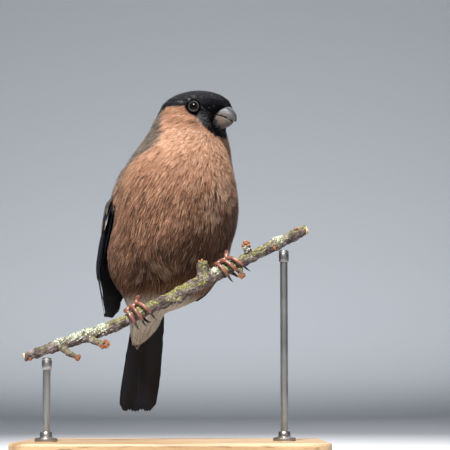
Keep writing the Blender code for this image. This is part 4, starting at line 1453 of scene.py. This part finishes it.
# Each toe: its place along the twig, from the ball of the foot, at its start and at its end, and
# the turns round the twig at both, in degrees.
TOES = {
    "right": {
        "inner": (1.9, 4.8, 110, -34),
        "middle": (-0.5, 0.9, 114, -56),
        "outer": (-2.8, -2.0, 110, -44),
        "hind": (0.0, 2.0, 152, 240),
    },
    "left": {
        "inner": (-3.0, -0.9, 110, -44),
        "middle": (-0.6, 3.2, 114, -56),
        "outer": (1.8, 5.8, 110, -30),
        "hind": (0.0, 2.0, 152, 240),
    },
}
TOE_STATIONS = 72
TOE_SIDES = 20
SCUTE_PITCH = 0.82
FOOT_VOXEL = 0.14
CLAW_LENGTH = 4.2
CLAW_RADIUS = 0.78
CLAW_DROP = 30.0
CLAW_CURL = 62.0
CLAW_STEPS = 6
CLAW_RINGS = 22

foot_look = new_material(
    "toe_skin",
    (0.24, 0.10, 0.07),
    0.4,
    Specular_IOR_Level=0.6,
    Coat_Weight=0.4,
    Coat_Roughness=0.22,
)
tree = foot_look.node_tree
shader = tree.nodes["Principled BSDF"]
places = tree.nodes.new("ShaderNodeTexCoord").outputs["Object"]
foot_shade_marks = tree.nodes.new("ShaderNodeAttribute")
foot_shade_marks.attribute_name = "groove"
blotch = noise(tree, places, 420.0, 4.0, 0.6)
grain = noise(tree, places, 2600.0, 3.0, 0.6)
foot_colour = value_ramp(
    tree,
    blotch,
    (
        (0.30, (0.080, 0.026, 0.017)),
        (0.52, (0.165, 0.060, 0.038)),
        (0.74, (0.27, 0.125, 0.085)),
    ),
)
# Painted shade: the skin is darkened in the hollows of its surface, between the plates and where the
# toes meet.
foot_colour = mixed(tree, foot_shade_marks.outputs["Fac"], foot_colour, (0.050, 0.022, 0.018))
tree.links.new(foot_colour, shader.inputs["Base Color"])
spread_roughness(tree, 0.30, grain, 0.35)
bump = tree.nodes.new("ShaderNodeBump")
bump.inputs["Strength"].default_value = 0.3
bump.inputs["Distance"].default_value = 0.05 * MM
tree.links.new(grain, bump.inputs["Height"])
tree.links.new(bump.outputs["Normal"], shader.inputs["Normal"])

claw_look = new_material("claw_horn", (0.02, 0.017, 0.018), 0.22, Specular_IOR_Level=0.55)
tree = claw_look.node_tree
claw_marks = tree.nodes.new("ShaderNodeAttribute")
claw_marks.attribute_name = "groove"
claw_colour = value_ramp(
    tree,
    claw_marks.outputs["Fac"],
    (
        (0.0, (0.060, 0.036, 0.030)),
        (0.3, (0.018, 0.015, 0.017)),
        (1.0, (0.012, 0.012, 0.016)),
    ),
)
tree.links.new(claw_colour, tree.nodes["Principled BSDF"].inputs["Base Color"])


def smooth_line(points, count):
    """A curve through these points, as evenly spread points along it."""
    points = np.asarray(points, float)
    whole = np.concatenate([2 * points[:1] - points[1:2], points, 2 * points[-1:] - points[-2:-1]])
    fine = []
    for i in range(len(points) - 1):
        a, b, c, d = whole[i : i + 4]
        for t in np.linspace(0, 1, 16, endpoint=False):
            fine.append(
                0.5
                * (
                    2 * b
                    + (c - a) * t
                    + (2 * a - 5 * b + 4 * c - d) * t**2
                    + (3 * b - a - 3 * c + d) * t**3
                )
            )
    fine = np.array(fine + [points[-1]])
    spans = np.concatenate([[0], np.cumsum(np.linalg.norm(np.diff(fine, axis=0), axis=1))])
    at = np.linspace(0, spans[-1], count)
    return np.stack([np.interp(at, spans, fine[:, i]) for i in range(3)], axis=1), at


def twig_at(x):
    """The twig's middle, direction and radius where it passes a given X."""
    columns = list(zip(*TWIG))
    middle = np.array([x, np.interp(x, columns[0], columns[1]), np.interp(x, columns[0], columns[2])])
    ahead_y, ahead_z = (np.interp(x + 0.5, columns[0], columns[i]) for i in (1, 2))
    direction = unit(np.array((0.5, ahead_y - middle[1], ahead_z - middle[2])))
    return middle, direction, np.interp(x, columns[0], columns[3])


def toe_path(side, toe):
    """Points over the twig's bark, from the ball of the foot to the toe's end."""
    start, end, first, last = TOES[side][toe]
    path = []
    for share in np.linspace(0, 1, 8):
        middle, direction, radius = twig_at(FOOT_BALLS[side] + start + (end - start) * share)
        turn = math.radians(first + (last - first) * share)
        near = unit(np.array((0.0, -1.0, 0.0)) + direction * direction[1])
        upward = unit(np.cross(near, direction))
        upward *= np.sign(upward[2])
        reach = radius + TOE_CLEARANCE + TOE_RADIUS
        path.append(middle + (near * math.cos(turn) + upward * math.sin(turn)) * reach)
    return np.array(path)


def tube_rings(line, radii, sides, outward):
    """Rings of points round a line; the first point of each ring is on the outward side."""
    run = unit(np.gradient(line, axis=0))
    top = unit(outward - run * (outward * run).sum(1, keepdims=True))
    side_way = np.cross(run, top)
    turns = np.arange(sides) * math.tau / sides
    shape = radii if radii.ndim == 2 else np.repeat(radii[:, None], sides, axis=1)
    return (
        line[:, None]
        + top[:, None] * (np.cos(turns) * shape)[..., None]
        + side_way[:, None] * (np.sin(turns) * shape)[..., None]
    ) * MM, turns


def closed_tube(name, rings):
    """A tube from its rings, with both ends closed."""
    mesh = grid_mesh(name, rings, closed_across=True)
    work = bmesh.new()
    work.from_mesh(mesh)
    bmesh.ops.holes_fill(work, edges=[edge for edge in work.edges if edge.is_boundary])
    bmesh.ops.recalc_face_normals(work, faces=work.faces)
    work.to_mesh(mesh)
    work.free()
    mesh.shade_smooth()
    return mesh


def joined(name, meshes):
    """One object from several meshes."""
    work = bmesh.new()
    for mesh in meshes:
        work.from_mesh(mesh)
    made = bpy.data.meshes.new(name)
    work.to_mesh(made)
    work.free()
    return link_piece(name, made)


def toe_mesh(side, toe):
    """A toe: plates that overlap like a sawtooth on top, pads that bulge below."""
    path = toe_path(side, toe)
    line, at = smooth_line(path, TOE_STATIONS)
    middle_of_twig = np.array([twig_at(x)[0] for x in line[:, 0]])
    outward = unit(line - middle_of_twig)
    turns = np.arange(TOE_SIDES) * math.tau / TOE_SIDES
    phase = (at / SCUTE_PITCH) % 1.0
    plate = 0.13 * (phase**1.5) - 0.02
    pad = 0.16 * np.abs(np.sin(at / at[-1] * math.pi * 3)) - 0.03
    upper = np.clip(np.cos(turns), 0, 1) ** 0.7
    lower = np.clip(-np.cos(turns), 0, 1) ** 0.7
    taper = np.interp(at / at[-1], (0, 0.15, 0.75, 1), (1.12, 1.0, 0.92, 0.80))
    radii = TOE_RADIUS * taper[:, None] * (1 + plate[:, None] * upper + pad[:, None] * lower)
    rings, _ = tube_rings(line, radii, TOE_SIDES, outward)
    return closed_tube(f"toe_{toe}", rings), line, outward


def claw_mesh(line, outward):
    """A curved claw that carries on where a toe ends and bends in towards the twig."""
    heading = Vector(unit(line[-1] - line[-3]))
    axis = heading.cross(Vector(-outward[-1])).normalized()
    point = Vector(line[-1]) - heading * 0.7
    points = [point.copy()]
    point = point + heading * 1.0
    points.append(point.copy())
    heading = Matrix.Rotation(math.radians(-CLAW_DROP), 3, axis) @ heading
    for _ in range(CLAW_STEPS - 1):
        heading = Matrix.Rotation(math.radians(CLAW_CURL / CLAW_STEPS), 3, axis) @ heading
        point = point + heading * (CLAW_LENGTH / (CLAW_STEPS - 1))
        points.append(point.copy())
    spine, at = smooth_line([tuple(p) for p in points], CLAW_RINGS)
    share = at / at[-1]
    turns = np.arange(14) * math.tau / 14
    radii = CLAW_RADIUS * (1 - share**1.6 * 0.86)[:, None] * (1 - 0.25 * np.abs(np.sin(turns)))
    rings, _ = tube_rings(spine, radii, 14, np.tile(outward[-1], (CLAW_RINGS, 1)))
    mesh = closed_tube("claw", rings)
    return mesh, np.repeat(share, 14)


for side, ball_x in FOOT_BALLS.items():
    parts = []
    claws = []
    claw_shares = []
    for toe in TOES[side]:
        mesh, line, outward = toe_mesh(side, toe)
        parts.append(mesh)
        mesh, share = claw_mesh(line, outward)
        claws.append(mesh)
        claw_shares.append(share)
    middle, direction, radius = twig_at(ball_x)
    ball = middle + np.array(FOOT_RISE)
    ankle = np.array(ANKLES[side])
    line, at = smooth_line((ball + (0, -0.2, -2.2), ball, (ball + ankle) / 2, ankle), 60)
    turns = np.arange(TOE_SIDES) * math.tau / TOE_SIDES
    plate = 0.10 * ((at / 1.5) % 1.0) ** 2
    radii = TARSUS_RADIUS * (1 + plate[:, None] * np.clip(np.cos(turns), 0, 1))
    rings, _ = tube_rings(line, radii, TOE_SIDES, np.tile((0.0, -1.0, 0.3), (60, 1)))
    parts.append(closed_tube("tarsus", rings))
    for toe in TOES[side]:
        start = toe_path(side, toe)[0]
        line, _ = smooth_line((ball + (0, -0.2, -1.2), (ball + start) / 2 + (0, 0, -0.3), start), 24)
        radii = np.linspace(1.15, 1.0, 24)
        rings, _ = tube_rings(line, radii, TOE_SIDES, np.tile((0.0, -1.0, 0.3), (24, 1)))
        parts.append(closed_tube("knuckle", rings))
    foot = joined(f"foot_{side}", parts)
    add_modifier(foot, "REMESH", mode="VOXEL", voxel_size=FOOT_VOXEL * MM)
    add_modifier(foot, "SMOOTH", factor=0.5, iterations=2)
    apply_modifiers(foot)
    foot.data.shade_smooth()
    points = read_points(foot.data)
    point_normals = read_points(foot.data, "vertex_normals", "vector")
    work = bmesh.new()
    work.from_mesh(foot.data)
    work.verts.ensure_lookup_table()
    # How hollow the surface is at each vertex; it darkens the skin there as painted shade.
    hollow_shade = np.array(
        [
            np.mean([(edge.other_vert(v).co - v.co).dot(v.normal) for edge in v.link_edges])
            for v in work.verts
        ]
    )
    work.free()
    add_value(foot.data, "groove", np.clip(hollow_shade / (0.016 * MM), 0, 1) * 0.85)
    foot.data.materials.append(foot_look)
    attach(foot, "root")
    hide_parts(f"tarsus_{side}", *(f"toe_{side}_{toe}" for toe in TOES[side]))
    claw_set = joined(f"claws_{side}", claws)
    claw_set.data.shade_smooth()
    add_value(claw_set.data, "groove", np.concatenate(claw_shares))
    claw_set.data.materials.append(claw_look)
    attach(claw_set, "root")
    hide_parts(*(f"claw_{side}_{toe}" for toe in TOES[side]))


# The twig. A short cut length with rough, purple-brown bark, cracked and ringed by old bud scars.
# Yellow-green algae coat its upper side, pale lichen crusts sit in clumps, and short spurs carry
# orange-brown buds. Both ends are cut clean.
SPURS = (
    ((-46.5, -18.5, 49.6), (-42.5, -20.6, 46.2), (-39.2, -21.6, 44.9), 1.7, 1.0),
    ((-35.0, -17.0, 52.8), (-31.0, -19.0, 50.9), (-27.6, -20.7, 50.2), 1.7, 1.1),
    ((13.4, -10.5, 77.5), (12.8, -11.4, 81.4), (12.4, -12.2, 85.4), 3.2, 2.3),
    ((3.4, -11.8, 71.6), (3.0, -13.2, 69.2), (2.6, -14.2, 67.6), 1.8, 1.2),
    ((32.8, -8.0, 88.0), (31.6, -9.0, 90.6), (30.8, -9.8, 92.6), 1.8, 1.1),
    ((28.0, -8.6, 84.0), (28.6, -11.0, 81.4), (29.0, -11.8, 79.6), 1.3, 0.8),
)
TWIG_STATIONS = 260
TWIG_SIDES = 36
TWIG_VOXEL = 0.34
TWIG_SEED = 5
NODE_RINGS = (-56.0, -50.0, -46.5, -35.5, -24.0, -13.5, -4.0, 3.2, 13.0, 21.0, 30.5, 33.5, 44.0, 51.5)
LICHEN_PATCHES = (
    ((-41.0, -18.0, 54.6), (4.4, 3.6, 3.2)),
    ((-35.0, -17.0, 56.0), (4.6, 3.2, 2.4)),
    ((-29.4, -17.0, 57.4), (3.0, 3.0, 2.6)),
    ((-47.0, -19.0, 51.2), (2.6, 2.6, 2.2)),
    ((31.0, -9.6, 91.2), (2.6, 2.4, 2.2)),
    ((18.0, -11.0, 81.5), (3.4, 2.2, 1.8)),
    ((44.0, -7.6, 95.2), (4.0, 2.6, 2.0)),
)
# Buds: the place of each one's foot, the way it points, and its length.
BUDS = (
    ((-39.2, -21.6, 44.9), (0.3, -0.35, -0.9), 2.6),
    ((-38.8, -21.6, 45.2), (0.9, -0.3, -0.3), 2.0),
    ((-40.6, -21.2, 45.4), (-0.2, -0.5, -0.9), 1.8),
    ((-27.6, -20.7, 50.2), (0.9, -0.2, 0.45), 2.6),
    ((-27.4, -20.8, 50.2), (1.0, -0.2, -0.1), 2.5),
    ((-27.8, -20.9, 49.9), (0.7, -0.4, -0.7), 2.6),
    ((-28.6, -20.6, 49.8), (-0.1, -0.4, -1.0), 2.5),
    ((-28.0, -20.4, 50.8), (0.5, -0.3, 0.9), 2.2),
    ((-29.6, -20.2, 50.0), (-0.5, -0.5, -0.8), 1.9),
    ((12.2, -12.5, 85.2), (0.2, -0.3, 1.0), 1.7),
    ((11.3, -12.6, 84.9), (-0.6, -0.3, 0.8), 1.5),
    ((13.3, -12.6, 84.8), (0.8, -0.3, 0.6), 1.5),
    ((30.8, -9.8, 92.6), (-0.25, -0.2, 1.0), 2.5),
    ((31.2, -9.8, 92.5), (0.55, -0.2, 0.9), 2.5),
    ((30.2, -10.0, 92.0), (-0.9, -0.3, 0.4), 2.0),
    ((31.6, -10.2, 92.0), (0.8, -0.5, 0.3), 1.9),
    ((29.0, -11.8, 79.6), (0.1, -0.2, -1.0), 2.5),
    ((29.3, -11.8, 79.8), (0.8, -0.3, -0.7), 2.3),
    ((28.7, -11.9, 79.8), (-0.6, -0.3, -0.8), 2.2),
    ((-58.6, -20.8, 44.4), (0.0, -0.4, -1.0), 1.9),
    ((42.8, -8.6, 91.6), (0.4, -0.6, -0.7), 2.0),
    ((52.0, -6.8, 99.2), (0.7, -0.4, 0.8), 1.9),
)
BUD_SCALES = 3


def smooth_between(at, places, values):
    """Values at places of a line, smoothly joined."""
    line, _ = smooth_line([(p, v, 0) for p, v in zip(places, values)], 400)
    return np.interp(at, line[:, 0], line[:, 1])


draw = np.random.default_rng(TWIG_SEED)
line, at = smooth_line([row[:3] for row in TWIG], TWIG_STATIONS)
radius = smooth_between(line[:, 0], [row[0] for row in TWIG], [row[3] for row in TWIG])
for place in NODE_RINGS:
    radius = radius + 0.42 * np.exp(-(((line[:, 0] - place) / 0.9) ** 2))
    radius = radius - 0.10 * np.exp(-(((line[:, 0] - place - 1.5) / 0.5) ** 2))
rings, _ = tube_rings(line, radius - 0.12, TWIG_SIDES, np.tile((0.0, -0.3, 1.0), (TWIG_STATIONS, 1)))
parts = [closed_tube("stem", rings)]
for foot_point, elbow, end, foot_radius, end_radius in SPURS:
    line, at = smooth_line((foot_point, elbow, end), 40)
    spur_radii = (foot_radius, (foot_radius + end_radius) / 2, end_radius, 0.75 * end_radius)
    radii = np.interp(at / at[-1], (0, 0.35, 0.9, 1), spur_radii)
    radii = radii + 0.14 * np.sin(at * 5.2) ** 2
    rings, _ = tube_rings(line, radii, 24, np.tile((0.3, -1.0, 0.2), (40, 1)))
    parts.append(closed_tube("spur", rings))
twig = joined("twig", parts)
add_modifier(twig, "REMESH", mode="VOXEL", voxel_size=TWIG_VOXEL * MM)
add_modifier(twig, "SMOOTH", factor=0.5, iterations=2)
apply_modifiers(twig)
bpy.context.view_layer.objects.active = twig
add_modifier(twig, "SUBSURF", levels=1, render_levels=1)
apply_modifiers(twig)
points = read_points(twig.data).astype(float)
point_normals = read_points(twig.data, "vertex_normals", "vector").astype(float)
lichen = patchiness(points, LICHEN_PATCHES)
crust = 1.9 * lichen + 0.55 * wander(points, 1.7, 61) + 0.3 * wander(points, 0.8, 62)
crust = np.clip(crust - 0.75, 0, 1)
facing_up = point_normals[:, 2] * 0.8 - point_normals[:, 1] * 0.25
algae = facing_up + 0.45 * wander(points, 5.0, 63) + 0.25 * wander(points, 1.4, 64)
algae = soft_step(algae, -0.05, 0.7)
algae *= np.interp(points[:, 0] / MM, (-60, -44, -22, 0, 16, 40), (0.15, 0.35, 0.75, 1.0, 0.95, 0.55))
stretched = points.copy()
stretched[:, 0] = stretched[:, 0] * 0.35
stretched[:, 2] = stretched[:, 2] - points[:, 0] * 0.5
crack = np.abs(wander(stretched, 1.6, 65) + 0.4 * wander(stretched, 0.8, 66))
crack = 1 - np.clip(crack / 0.35, 0, 1)
rough_skin = 0.12 * wander(points, 1.9, 67) + 0.08 * wander(points, 0.8, 68)
rough_skin = rough_skin - 0.16 * crack * (1 - crust)
lumps = crust * (0.45 + 0.24 * wander(points, 0.9, 69) + 0.10 * wander(points, 0.45, 70))
cut_ends = (points[:, 0] < -61.0 * MM) | (points[:, 0] > 56.5 * MM)
rise = np.where(cut_ends, 0.0, rough_skin + lumps)
raised = points + point_normals * rise[:, None] * MM
twig.data.vertices.foreach_set("co", raised.astype(np.float32).ravel())
twig.data.update()
twig.data.shade_smooth()
bark_marks = [algae * (1 - crust), crust, crack, cut_ends.astype(float)]
add_marks(twig.data, "bark", np.stack(bark_marks, axis=1))

bark_look = new_material("twig_bark", (0.1, 0.07, 0.06), 0.85, Specular_IOR_Level=0.3)
tree = bark_look.node_tree
shader = tree.nodes["Principled BSDF"]
places = tree.nodes.new("ShaderNodeTexCoord").outputs["Object"]
bark_marks = tree.nodes.new("ShaderNodeAttribute")
bark_marks.attribute_name = "bark"
bark = tree.nodes.new("ShaderNodeSeparateColor")
tree.links.new(bark_marks.outputs["Color"], bark.inputs["Color"])
patchy = noise(tree, places, 330.0, 5.0, 0.62)
specks = noise(tree, places, 1500.0, 4.0, 0.7)
bark_colour = value_ramp(
    tree,
    patchy,
    (
        (0.34, (0.022, 0.016, 0.017)),
        (0.50, (0.085, 0.064, 0.064)),
        (0.66, (0.26, 0.215, 0.215)),
    ),
)
algae_colour = value_ramp(
    tree,
    specks,
    (
        (0.38, (0.030, 0.034, 0.012)),
        (0.50, (0.145, 0.145, 0.048)),
        (0.66, (0.36, 0.35, 0.15)),
    ),
)
crust_colour = value_ramp(
    tree,
    specks,
    (
        (0.38, (0.07, 0.08, 0.055)),
        (0.50, (0.30, 0.33, 0.26)),
        (0.64, (0.60, 0.62, 0.55)),
    ),
)
share = maths(tree, "MULTIPLY", bark.outputs["Red"], maths(tree, "ADD", 0.55, specks))
share.node.use_clamp = True
bark_colour = mixed(tree, share, bark_colour, algae_colour)
cracked = maths(tree, "MULTIPLY", bark.outputs["Blue"], 0.6)
bark_colour = mixed(tree, cracked, bark_colour, (0.016, 0.012, 0.012))
crusted = value_ramp(tree, bark.outputs["Green"], ((0.10, (0, 0, 0)), (0.34, (1, 1, 1))))
bark_colour = mixed(tree, crusted, bark_colour, crust_colour)
wood = value_ramp(tree, patchy, ((0.3, (0.42, 0.30, 0.17)), (0.7, (0.62, 0.48, 0.30))))
bark_colour = mixed(tree, bark_marks.outputs["Alpha"], bark_colour, wood)
tree.links.new(bark_colour, shader.inputs["Base Color"])
spread_roughness(tree, 0.68, specks, 0.3)
bump = tree.nodes.new("ShaderNodeBump")
bump.inputs["Strength"].default_value = 0.6
bump.inputs["Distance"].default_value = 0.2 * MM
tree.links.new(maths(tree, "ADD", specks, patchy), bump.inputs["Height"])
tree.links.new(bump.outputs["Normal"], shader.inputs["Normal"])
twig.data.materials.append(bark_look)
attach(twig, "root")
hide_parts("perch")

# The buds: pointed, with a few overlapping brown scales each.
bud_look = new_material("bud_scale", (0.3, 0.12, 0.04), 0.5, Specular_IOR_Level=0.4)
tree = bud_look.node_tree
bud_marks = tree.nodes.new("ShaderNodeAttribute")
bud_marks.attribute_name = "groove"
bud_places = tree.nodes.new("ShaderNodeTexCoord").outputs["Object"]
bud_mottle = maths(tree, "MULTIPLY", maths(tree, "SUBTRACT", noise(tree, bud_places, 1400.0), 0.5), 0.5)
bud_colour = value_ramp(
    tree,
    maths(tree, "ADD", bud_marks.outputs["Fac"], bud_mottle),
    (
        (0.0, (0.020, 0.010, 0.007)),
        (0.25, (0.085, 0.034, 0.016)),
        (0.7, (0.24, 0.085, 0.028)),
        (1.0, (0.34, 0.16, 0.07)),
    ),
)
tree.links.new(bud_colour, tree.nodes["Principled BSDF"].inputs["Base Color"])
parts = []
shares = []
for foot_point, way, length_of_bud in BUDS:
    way = unit(np.array(way, float))
    for layer in range(BUD_SCALES):
        first = layer * 0.26
        at = np.linspace(0, 1, 12)
        turns = np.arange(12) * math.tau / 12
        shape = np.sin(np.clip(at * 0.92 + 0.08, 0, 1) * math.pi) ** 0.75 * (1 - 0.45 * at)
        wavy = 1 + 0.08 * np.cos(turns * 3 + 2.1 * layer)
        radii = (0.46 - 0.05 * layer) * length_of_bud * shape[:, None] * wavy
        radii = np.maximum(1.18 * radii, 0.02)
        along_bud = (first + at * (1 - first * 0.72)) * 0.82 * length_of_bud
        line = np.array(foot_point) + way * along_bud[:, None] - way * 0.35
        helper = np.array((0.3, 0.2, 0.9)) if abs(way[2]) < 0.9 else np.array((1.0, 0.2, 0.0))
        rings, _ = tube_rings(line, radii, 12, np.tile(helper, (12, 1)))
        parts.append(closed_tube("scale", rings))
        shares.append(np.repeat(np.clip(at * 1.1 - 0.05, 0, 1), 12))
buds = joined("twig_buds", parts)
buds.data.shade_smooth()
add_value(buds.data, "groove", np.concatenate(shares))
buds.data.materials.append(bud_look)
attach(buds, "root")


# The display stand. A flat base of pale oiled wood with rounded corners carries two thin steel
# rods, each set in a small turned collar, with a slim ferrule where it meets the twig.
ROD_PLACES = {"left": -52.0, "right": 47.0}
BASE_TOP = 10.0
# Collar and ferrule as turned outlines: radius and height above the base, or below the rod's top.
COLLAR = (
    (1.62, 0.0),
    (4.6, 0.0),
    (4.8, 0.25),
    (4.8, 1.0),
    (4.4, 1.45),
    (2.9, 1.7),
    (2.55, 2.1),
    (2.5, 3.6),
    (2.2, 4.0),
    (1.62, 4.0),
)
FERRULE = (
    (1.62, -5.0),
    (1.95, -5.0),
    (2.1, -4.75),
    (2.1, -1.4),
    (2.0, -1.2),
    (2.0, -0.9),
    (2.1, -0.7),
    (2.0, -0.3),
    (1.62, -0.2),
)

wood_look = new_material(
    "stand_wood",
    (0.5, 0.36, 0.22),
    0.45,
    Specular_IOR_Level=0.4,
    Coat_Weight=0.08,
    Coat_Roughness=0.35,
)
tree = wood_look.node_tree
shader = tree.nodes["Principled BSDF"]
places = tree.nodes.new("ShaderNodeTexCoord").outputs["Object"]
mapping = tree.nodes.new("ShaderNodeMapping")
mapping.inputs["Scale"].default_value = (0.10, 1.0, 1.0)
mapping.inputs["Rotation"].default_value = (0.05, 0.12, 0.04)
tree.links.new(places, mapping.inputs["Vector"])
stretched_place = mapping.outputs["Vector"]
warp = noise(tree, stretched_place, 22.0, 2.0, 0.5)
growth = tree.nodes.new("ShaderNodeTexWave")
growth.wave_type = "BANDS"
growth.bands_direction = "Y"
growth.inputs["Scale"].default_value = 42.0
growth.inputs["Distortion"].default_value = 9.0
growth.inputs["Detail"].default_value = 3.0
growth.inputs["Detail Scale"].default_value = 1.4
tree.links.new(stretched_place, growth.inputs["Vector"])
pores = noise(tree, stretched_place, 900.0, 2.0, 0.5)
wood_colour = value_ramp(
    tree,
    growth.outputs["Fac"],
    (
        (0.0, (0.30, 0.185, 0.095)),
        (0.5, (0.44, 0.30, 0.17)),
        (1.0, (0.52, 0.375, 0.225)),
    ),
)
wood_colour = mixed(tree, maths(tree, "MULTIPLY", warp, 0.5), wood_colour, (0.36, 0.235, 0.125))
pore_mask = value_ramp(tree, pores, ((0.30, (0.8, 0.8, 0.8)), (0.42, (0, 0, 0))))
wood_colour = mixed(tree, pore_mask, wood_colour, (0.19, 0.11, 0.055))
tree.links.new(wood_colour, shader.inputs["Base Color"])
spread_roughness(tree, 0.36, pores, 0.22)
bump = tree.nodes.new("ShaderNodeBump")
bump.inputs["Strength"].default_value = 0.2
bump.inputs["Distance"].default_value = 0.15 * MM
tree.links.new(maths(tree, "ADD", pores, growth.outputs["Fac"]), bump.inputs["Height"])
tree.links.new(bump.outputs["Normal"], shader.inputs["Normal"])
nodes["stand_base"].data.materials.clear()
nodes["stand_base"].data.materials.append(wood_look)

steel_look = new_material("stand_steel", (0.42, 0.41, 0.40), 0.3, Metallic=1.0)
tree = steel_look.node_tree
shader = tree.nodes["Principled BSDF"]
places = tree.nodes.new("ShaderNodeTexCoord").outputs["Object"]
mapping = tree.nodes.new("ShaderNodeMapping")
mapping.inputs["Scale"].default_value = (1.0, 1.0, 14.0)
tree.links.new(places, mapping.inputs["Vector"])
turned = noise(tree, mapping.outputs["Vector"], 420.0, 3.0, 0.6)
dull = noise(tree, places, 90.0, 2.0, 0.5)
steel_colour = value_ramp(tree, dull, ((0.3, (0.33, 0.325, 0.32)), (0.7, (0.50, 0.49, 0.475))))
tree.links.new(steel_colour, shader.inputs["Base Color"])
spread_roughness(tree, 0.20, turned, 0.28)
bump = tree.nodes.new("ShaderNodeBump")
bump.inputs["Strength"].default_value = 0.12
bump.inputs["Distance"].default_value = 0.05 * MM
tree.links.new(turned, bump.inputs["Height"])
tree.links.new(bump.outputs["Normal"], shader.inputs["Normal"])


def turned_mesh(name, x, height, outline):
    """A closed ring turned on a lathe from its outline, round a rod."""
    turns = np.arange(48) * math.tau / 48
    rings = np.array(
        [
            np.stack([x + r * np.cos(turns), r * np.sin(turns), np.full(48, height + h)], axis=1)
            for r, h in outline
        ]
    )
    rings = rings * MM + np.array((0, rod_y, 0)) * MM
    mesh = grid_mesh(name, rings, closed_across=True, closed_along=True)
    work = bmesh.new()
    work.from_mesh(mesh)
    bmesh.ops.recalc_face_normals(work, faces=work.faces)
    work.to_mesh(mesh)
    work.free()
    return mesh


for side, x in ROD_PLACES.items():
    rod = nodes[f"stand_rod_{side}"]
    low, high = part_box(f"stand_rod_{side}")
    rod_x, rod_y = ((low[i] + high[i]) / 2 / MM for i in (0, 1))
    rod.data.materials.clear()
    rod.data.materials.append(steel_look)
    for label, outline, height in (("collar", COLLAR, BASE_TOP), ("ferrule", FERRULE, high.z / MM)):
        name = f"stand_{label}_{side}"
        ring = link_piece(name, turned_mesh(name, rod_x, height, outline))
        bpy.context.view_layer.objects.active = ring
        ring.select_set(True)
        bpy.ops.object.shade_smooth_by_angle(angle=math.radians(35))
        ring.select_set(False)
        ring.data.materials.append(steel_look)
        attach(ring, "root")
